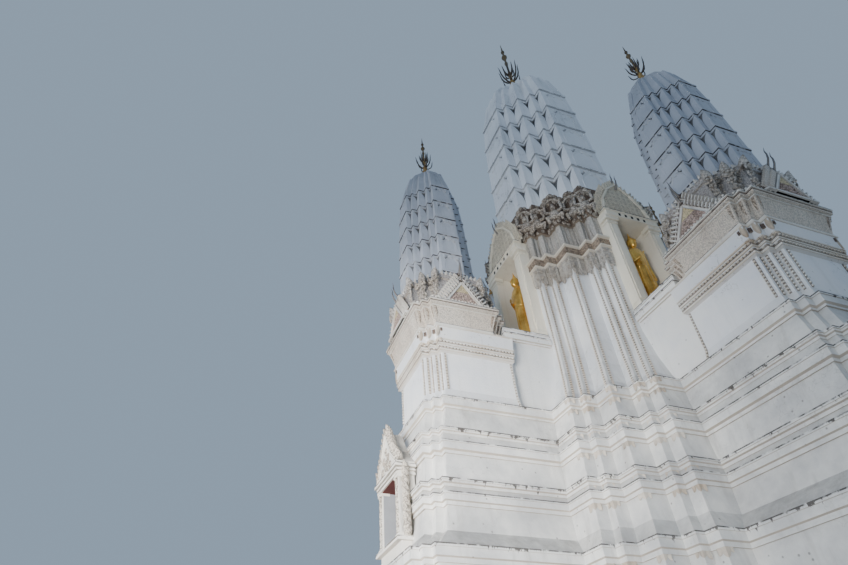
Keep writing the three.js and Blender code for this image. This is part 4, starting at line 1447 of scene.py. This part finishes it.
field = solid_through([[(x, y * 0.97, z - 0.01) for y, z in face_points]
                       for x in (PEDIMENT_FRONT - 0.02, PEDIMENT_FRONT + 0.012)])
pediment = turn_outward(join_pieces([flames, place_copies(curl, relief), field]))
porch_render = masonry("porch render", (0.93, 0.88, 0.75), (0.86, 0.79, 0.65), (0.42, 0.34, 0.24),
                       ((9.38, 0.05),), streak_strength=0.4, soot=0.5, underside=0.2)
pediment_stucco = masonry("pediment stucco", (0.88, 0.81, 0.66), (0.72, 0.64, 0.50),
                          (0.30, 0.22, 0.15), streak_strength=0.5, soot=0.8, relief=0.03,
                          carving=46.0, hollow=0.28)
on_four_arms(join_pieces(porch_parts), "porch_trim", porch_render)
on_four_arms(pediment, "porch_pediments", pediment_stucco)
dress([f"porch_{side}" for side in SIDES], porch_render)
linings = join_pieces([slab(*block) for block in (
    (1.25, JAMB_FRONT, -0.401, -0.394, NICHE_FOOT, 9.19),
    (1.25, JAMB_FRONT, 0.394, 0.401, NICHE_FOOT, 9.19),
    (1.249, 1.256, -NICHE_HALF, NICHE_HALF, NICHE_FOOT, 9.20),
    (1.25, 1.95, -NICHE_HALF, NICHE_HALF, 9.192, 9.201))])
niche_render = masonry("niche render", (0.92, 0.87, 0.76), (0.84, 0.76, 0.62), (0.50, 0.38, 0.24),
                       streak_strength=0.4, underside=0.2)
on_four_arms(linings, "niche_linings", niche_render)

drain = cast_block(0.014, 0.050, 0.075, 0.9)
drains = set_out(drain, [(LINTEL_FRONT, 0.15 * i, 9.275, 0.0) for i in range(-2, 3)])
drain_shadow = masonry("drain shadow", (0.02, 0.018, 0.015), (0.01, 0.01, 0.01), (0.01, 0.01, 0.01))
on_four_arms(drains, "porch_drains", drain_shadow)
discard(drain)
porch_horn = place_copies(horn, [posed((1.80, 0, 10.42), sizes=(1.2, 1.2, 1.1)),
                                 posed((1.88, 0, 10.26), sizes=(1.1, 1.2, 1.05))])
on_four_arms(porch_horn, "porch_horns", horn_lead)
discard(horn)

# The gilded images: one standing robed figure in each niche, of lacquered plaster under gold
# leaf, on a lotus pedestal. The outer robe flares at the sides, one hand is raised before the
# waist and the calm, plain face looks ahead. The leaf has worn dull in the folds.

IMAGE_X, IMAGE_FOOT, IMAGE_TALL = 1.71, NICHE_FOOT, 2.23
PETAL_COUNT = 18


def drawn_form(rings, sides=12, angle=50):
    """A closed form drawn up through oval rings: centre, level, half deep and half wide."""
    angles = [2 * math.pi * i / sides for i in range(sides)]
    return smooth(solid_through([[(x + deep * math.cos(turn), y + wide * math.sin(turn), level)
                                  for turn in angles] for x, y, level, deep, wide in rings]), angle)


def gilded(name, bright, dull, metallic=0.35, roughness=0.40):
    """Gold leaf over lacquer, worn dull in patches and dark in its grain."""
    material = begin_material(name, metallic=metallic, roughness=roughness)
    tree = material.node_tree
    mottle = place_effect(tree, RENDER_MOTTLE, cloud_size=4.0, grain_size=40.0)
    colour = tint(tree, ramp(tree, mottle.outputs["Cloud"], 0.40, 0.66), bright, dull)
    colour = tint(tree, ramp(tree, mottle.outputs["Grain"], 0.60, 0.72), colour,
                  (0.10, 0.05, 0.015), 0.6)
    streaks = place_effect(tree, RAIN_STREAKS, width=13.0, cover=0.50)
    colour = tint(tree, streaks.outputs["Mask"], colour, (0.14, 0.06, 0.015), 0.65)
    return finish_material(material, colour, mottle.outputs["Grain"], 0.3, 0.006)


def on_image(ahead, aside, share):
    """A point of the image: how far ahead, how far aside, and its share of the height."""
    return (IMAGE_X + ahead, aside, IMAGE_FOOT + IMAGE_TALL * share)


def image_form(rows, sides=20):
    """A part of the image drawn up through rows of share, half deep, half wide and ahead."""
    return drawn_form([(*on_image(ahead, 0, share), deep, wide)
                       for share, deep, wide, ahead in rows], sides)


PEDESTAL = ((0.0, 0.160, 0.220, 0), (0.013, 0.168, 0.228, 0), (0.018, 0.140, 0.200, 0),
            (0.034, 0.135, 0.190, 0), (0.040, 0.160, 0.220, 0), (0.050, 0.150, 0.205, 0),
            (0.052, 0.110, 0.160, 0))
ROBE = ((0.052, 0.070, 0.120, 0), (0.07, 0.100, 0.168, 0), (0.20, 0.096, 0.155, 0),
        (0.38, 0.088, 0.140, 0.004), (0.50, 0.086, 0.130, 0.006), (0.57, 0.084, 0.126, 0.004),
        (0.63, 0.090, 0.148, 0), (0.70, 0.094, 0.172, 0), (0.755, 0.086, 0.182, -0.004),
        (0.780, 0.070, 0.150, -0.004), (0.793, 0.048, 0.070, 0), (0.806, 0.044, 0.046, 0.004),
        (0.825, 0.042, 0.044, 0.006))
HEAD = ((0.812, 0.034, 0.034, 0.012), (0.822, 0.062, 0.052, 0.014), (0.838, 0.082, 0.068, 0.012),
        (0.858, 0.092, 0.080, 0.006), (0.880, 0.096, 0.086, 0.002), (0.902, 0.086, 0.080, -0.002),
        (0.918, 0.064, 0.060, -0.006), (0.924, 0.042, 0.040, -0.006), (0.940, 0.040, 0.038, -0.006),
        (0.952, 0.026, 0.025, -0.004), (0.966, 0.018, 0.018, -0.002), (0.985, 0.010, 0.010, 0),
        (1.0, 0.003, 0.003, 0))
BELT = ((0.545, 0.086, 0.128, 0.004), (0.550, 0.094, 0.136, 0.004), (0.566, 0.094, 0.136, 0.004),
        (0.571, 0.086, 0.128, 0.004))

parts = [
    image_form(PEDESTAL), image_form(ROBE), image_form(HEAD, 16), image_form(BELT),
    limb(on_image(0.090, 0, 0.55), on_image(0.102, 0, 0.09), 0.016, 0.024),
    limb(on_image(0.092, 0, 0.888), on_image(0.108, 0, 0.866), 0.007, 0.016),
    round_form(on_image(0.094, 0, 0.850), (0.012, 0.022, 0.006)),
]
wing = [(0.150, 0.755), (0.186, 0.62), (0.196, 0.42), (0.204, 0.24), (0.224, 0.075), (0.205, 0.062),
        (0.180, 0.085), (0.150, 0.070), (0.130, 0.20)]
for side in (1, -1):
    parts.append(solid_through([[on_image(x, side * y, share) for y, share in wing]
                                for x in (-0.035, 0.012)]))
    parts += [
        round_form(on_image(0.085, side * 0.055, 0.062), (0.070, 0.034, 0.026)),
        round_form(on_image(0.086, side * 0.032, 0.877), (0.009, 0.019, 0.006)),
        limb(on_image(0.093, side * 0.010, 0.888), on_image(0.076, side * 0.052, 0.886),
             0.005, 0.003),
        round_form(on_image(0, side * 0.086, 0.862), (0.016, 0.009, 0.055)),
        limb(on_image(0, side * 0.158, 0.750), on_image(-0.01, side * 0.186, 0.60), 0.046, 0.036),
    ]
parts += [
    limb(on_image(-0.01, 0.186, 0.61), on_image(0.03, 0.190, 0.47), 0.036, 0.024),
    round_form(on_image(0.035, 0.190, 0.445), (0.018, 0.026, 0.060)),
    limb(on_image(-0.01, -0.186, 0.61), on_image(0.125, -0.105, 0.625), 0.038, 0.026),
    round_form(on_image(0.140, -0.090, 0.650), (0.016, 0.034, 0.060)),
    limb(on_image(0.06, 0.150, 0.765), on_image(0.085, -0.060, 0.60), 0.016, 0.014),
]
for i in range(-3, 4):
    parts.append(limb(on_image(0.084 - 0.003 * i * i, 0.034 * i, 0.54),
                      on_image(0.094 - 0.004 * i * i, 0.044 * i, 0.08), 0.007, 0.010))
petals = []
for i in range(PETAL_COUNT):
    angle = 2 * math.pi * (i + 0.5) / PETAL_COUNT
    petals.append(posed(on_image(0.132 * math.cos(angle), 0.186 * math.sin(angle), 0.018), angle,
                        sizes=(0.024, 0.060, 0.052)))
parts.append(place_copies(unit_leaf, petals))
image = turn_outward(join_pieces(parts))
image_gilt = gilded("image gilt", (1.0, 0.66, 0.17), (0.66, 0.34, 0.06), 0.75, 0.32)
on_four_arms(image, "gilded_image", image_gilt, hides="image")

# The four aedicules: small empty shrines of rendered brick on the outer faces of the base. Each
# has carved jambs, flame leaves down its sides, a thin cream lintel, a leafy gable with a tip and
# a row of scrolls under its sill. The niche is lined with grey render under a dark red ceiling.

AEDICULE_EDGE = ((0.48, 4.09), (0.40, 4.20), (0.22, 4.40), (0.0, 4.76))
SHRINE_BACK, SHRINE_HALF, SHRINE_FOOT = 4.05, 0.30, 3.06

trim = [slab(back, front, -half, half, foot, head) for back, front, half, foot, head in (
    (4.46, 4.775, 0.50, 4.030, 4.080), (4.46, 4.755, 0.47, 3.985, 4.012),
    (4.46, 4.745, 0.46, 3.920, 3.960), (4.44, 4.770, 0.49, 3.010, 3.062))]
for side in (1, -1):
    for near, far in ((0.300, 0.325), (0.415, 0.440)):
        trim.append(slab(4.66, 4.718, *sorted((side * near, side * far)), 3.10, 3.90))
    for foot, head in ((3.06, 3.11), (3.875, 3.92)):
        trim.append(slab(4.60, 4.735, *sorted((side * 0.29, side * 0.46)), foot, head))
    trim += gable_border(AEDICULE_EDGE, side, 0.04, 0.035, 4.66, 4.760)
aedicule_wash = masonry("aedicule wash", (0.82, 0.79, 0.73), (0.68, 0.64, 0.58), (0.30, 0.24, 0.19),
                        ((4.08, 0.06), (3.06, 0.06)), streak_strength=0.4, soot=0.7)
dress([f"aedicule_{side}" for side in SIDES], aedicule_wash)
on_four_arms(join_pieces(trim), "aedicule_trim", aedicule_wash)

leaves = []
for side in (1, -1):
    leaves += [posed((4.695, side * 0.37, 3.11 + 0.107 * i), sizes=(0.050, 0.10, 0.14))
               for i in range(7)]
    leaves += [posed((4.62, side * 0.445, 3.08 + 0.105 * i), tilt=-side * 0.55,
                     sizes=(0.055, 0.11, 0.21)) for i in range(9)]
leaves.append(posed((4.68, 0, 4.60), sizes=(0.060, 0.12, 0.20)))
curls = []
for y, z, wide in ((0.0, 4.22, 0.20), (0.17, 4.17, 0.14), (-0.17, 4.17, 0.14), (0.10, 4.33, 0.12),
                   (-0.10, 4.33, 0.12), (0.0, 4.45, 0.12)):
    curls.append(posed((4.745, y, z), sizes=(0.08, wide * (1 if y >= 0 else -1), wide)))
for i in range(-3, 4):
    curls.append(posed((4.60, 0.125 * i, 2.93), tilt=0.3 * i,
                       sizes=(0.12, 0.14 * (1 if i >= 0 else -1), 0.16)))
carving = turn_outward(join_pieces([
    place_copies(unit_leaf, leaves), place_copies(curl, curls),
    edge_flames(unit_leaf, AEDICULE_EDGE, 4.70, 0.080, (0.060, 0.11, 0.17), 0.9)]))
aedicule_stucco = masonry("aedicule carving", (0.74, 0.69, 0.61), (0.52, 0.44, 0.36),
                          (0.18, 0.13, 0.10), streak_strength=0.5, soot=0.8, relief=0.03,
                          carving=40.0, hollow=0.6)
on_four_arms(carving, "aedicule_carving", aedicule_stucco)

linings = join_pieces([slab(*block) for block in (
    (4.049, 4.056, -SHRINE_HALF, SHRINE_HALF, SHRINE_FOOT, 3.92),
    (SHRINE_BACK, 4.70, -0.301, -0.295, SHRINE_FOOT, 3.91),
    (SHRINE_BACK, 4.70, 0.295, 0.301, SHRINE_FOOT, 3.91))])
niche_grey = masonry("niche grey", (0.34, 0.35, 0.37), (0.24, 0.25, 0.27), (0.14, 0.13, 0.13))
on_four_arms(linings, "aedicule_linings", niche_grey)
ceiling = slab(SHRINE_BACK, 4.72, -SHRINE_HALF, SHRINE_HALF, 3.912, 3.921)
ceiling_red = masonry("ceiling red", (0.15, 0.032, 0.026), (0.10, 0.025, 0.02), (0.05, 0.02, 0.02),
                      underside=0.0)
on_four_arms(ceiling, "aedicule_ceiling", ceiling_red)

# The central spire: seven tiers of brick under limewash like the satellites', at twice their size,
# with the same cast leaves and plaques bedded on them. Its wash is whiter than theirs, whose
# darker colour is painted shade.

TOWER_TIERS = ((10.35, 1.490), (10.74, 1.485), (11.65, 1.472), (12.57, 1.453), (13.49, 1.425),
               (14.42, 1.382), (15.40, 1.315), (16.62, 1.090))
TOWER_BUD = ((16.20, 1.06), (16.72, 0.96), (17.08, 0.78), (17.42, 0.47), (17.70, 0.15))
tower_finish = spire_finish("tower spire limewash", TOWER_TIERS, 0.07, (0.90, 0.92, 0.95),
                            (0.78, 0.80, 0.84))
tower_top = whole_spire(TOWER_TIERS, TOWER_BUD, 0.095, 0.175, 0.0, tower_finish)
hand_over(tower_top, "tower_spire_tiers", None, ["tower_spire"])
discard(plaque, unit_leaf, spire_leaf, crown_leaf, frieze_leaf, curl)

# The finials: cast and beaten metal on an iron core. Each is a golden-brown bulb with a fan of
# dark curved prongs over it and a beaded spear above, its highest bead nearly black.

FINIAL_FOOT, FINIAL_TALL = 17.70, 3.30
SATELLITE_FINIAL_FOOT, SATELLITE_FINIAL_TALL = 11.84, 1.56
BULB = ((0.0, 0.120), (0.015, 0.150), (0.035, 0.165), (0.06, 0.150), (0.085, 0.105), (0.105, 0.070),
        (0.115, 0.090), (0.130, 0.090), (0.140, 0.060), (0.165, 0.085), (0.185, 0.095),
        (0.205, 0.070), (0.225, 0.045), (0.300, 0.055), (0.330, 0.080), (0.360, 0.070),
        (0.385, 0.040), (0.48, 0.030))
SPEAR = ((0.47, 0.036), (0.52, 0.036), (0.56, 0.058), (0.58, 0.058), (0.60, 0.036), (0.66, 0.040),
         (0.685, 0.085), (0.705, 0.098), (0.725, 0.075), (0.745, 0.034), (0.79, 0.038),
         (0.81, 0.062), (0.825, 0.062), (0.845, 0.034), (0.88, 0.026), (1.0, 0.004))


def finial_core(rows):
    return drawn_form([(0, 0, FINIAL_TALL * share, wide, wide) for share, wide in rows], 12, 40)


def curved_prong(reach, foot, rise, thick):
    """A flat pointed prong that springs out along +X from the core and curls up to its tip."""
    root = 0.02
    prong = begin_form(bpy.ops.mesh.primitive_circle_add, vertices=6, radius=thick,
                       fill_type="NGON", location=(root, 0, foot))
    bends = ((0.42, 0.08, 1.3), (0.70, 0.26, 1.25), (0.85, 0.48, 1.05), (0.90, 0.70, 0.80),
             (0.94, 0.87, 0.50), (1.0, 1.0, 0.10))
    draw_up([(share * (reach - 1.3 * thick), foot + height * rise, size)
             for share, height, size in bends], root, foot)
    end_edit()
    return smooth(prong, 60)


fan = []
for reach, foot, rise, offset in ((0.44, 0.52, 0.86, 0.0), (0.36, 0.60, 0.94, 0.5),
                                  (0.26, 1.00, 0.62, 0.0), (0.19, 1.06, 0.70, 0.5)):
    fan.append(four_ways(curved_prong(reach, foot, rise, 0.022), offset))
fan, bulb, spear = join_pieces(fan), finial_core(BULB), finial_core(SPEAR)
bulb_brass = gilded("bulb brass", (0.42, 0.27, 0.09), (0.26, 0.15, 0.06), 0.45, 0.45)
spear_brass = gilded("spear brass", (0.20, 0.14, 0.07), (0.09, 0.065, 0.04), 0.45, 0.45)
prong_iron = gilded("prong iron", (0.085, 0.065, 0.05), (0.05, 0.04, 0.035), 0.4, 0.5)
crown = Matrix.Translation((0, 0, FINIAL_FOOT))
small = posed((ARM, 0, SATELLITE_FINIAL_FOOT),
              sizes=(0.56, 0.56, SATELLITE_FINIAL_TALL / FINIAL_TALL))
for piece, label, metal in ((bulb, "bulb", bulb_brass), (spear, "spear", spear_brass),
                            (fan, "prongs", prong_iron)):
    hides = ["tower_finial"] if label == "bulb" else ()
    hand_over(place_copies(piece, [crown]), f"tower_{label}", metal, hides)
    on_four_arms(place_copies(piece, [small]), f"satellite_{label}", metal,
                 hides="satellite_finial" if hides else None)
    discard(piece)

# The studio: a pale floor, a soft low key light at the near corner, broad lights to the side, the
# front and the back, and a camera low at one corner of the base that looks up.

bpy.ops.object.select_all(action="DESELECT")
bpy.ops.mesh.primitive_plane_add(size=160, location=(0, 0, 0))
floor = bpy.context.object
floor.name = "studio_floor"
floor.data.materials.append(begin_material("studio floor", base_color=(0.74, 0.74, 0.73, 1),
                                           roughness=0.9))

world = bpy.data.worlds.new("studio")
bpy.context.scene.world = world
world.use_nodes = True
backdrop = world.node_tree.nodes["Background"]
backdrop.inputs["Color"].default_value = (0.52, 0.68, 0.88, 1)
backdrop.inputs["Strength"].default_value = 0.55

for name, place, aim, size, spread, power, colour in (
        ("key_light", (6, -11, 2), (0, -5, 4), 6, 60, 430, (1.0, 0.99, 0.96)),
        ("side_light", (2, -28, 14), (0, 0, 9), 12, 180, 950, (0.95, 0.97, 1.0)),
        ("front_light", (26, -8, 18), (0, 0, 9), 14, 180, 60, (1.0, 0.98, 0.94)),
        ("back_light", (-22, 20, 26), (0, 0, 9), 16, 180, 1800, (1.0, 1.0, 1.0))):
    lamp = bpy.data.lights.new(name, "AREA")
    lamp.shape = "DISK"
    lamp.size = size
    lamp.spread = math.radians(spread)
    lamp.energy = power
    lamp.color = colour
    light = bpy.data.objects.new(name, lamp)
    bpy.context.scene.collection.objects.link(light)
    light.location = place
    light.rotation_euler = (Vector(aim) - Vector(place)).to_track_quat("-Z", "Y").to_euler()

PHOTO_WIDTH, PHOTO_HEIGHT = 848, 565
SENSOR_WIDTH = 36.0
FOCAL_PIXELS = 544.0
CENTRE_X, CENTRE_Y = 387.2, 326.0
camera_data = bpy.data.cameras.new("camera")
camera_data.sensor_fit = "HORIZONTAL"
camera_data.sensor_width = SENSOR_WIDTH
camera_data.lens = FOCAL_PIXELS / PHOTO_WIDTH * SENSOR_WIDTH
camera_data.shift_x = (PHOTO_WIDTH / 2 - CENTRE_X) / PHOTO_WIDTH
camera_data.shift_y = (CENTRE_Y - PHOTO_HEIGHT / 2) / PHOTO_WIDTH
camera_data.clip_end = 300
camera = bpy.data.objects.new("camera", camera_data)
bpy.context.scene.collection.objects.link(camera)
CAMERA_PLACE = (7.335, -7.187, 0.80)
CAMERA_RIGHT = (0.30789, 0.95113, -0.02338)
CAMERA_UP = (0.59545, -0.17347, 0.78444)
CAMERA_BACK = (0.74205, -0.25544, -0.61977)
camera.matrix_world = (Matrix.Translation(CAMERA_PLACE)
                       @ Matrix((CAMERA_RIGHT, CAMERA_UP, CAMERA_BACK)).transposed().to_4x4())
bpy.context.scene.camera = camera
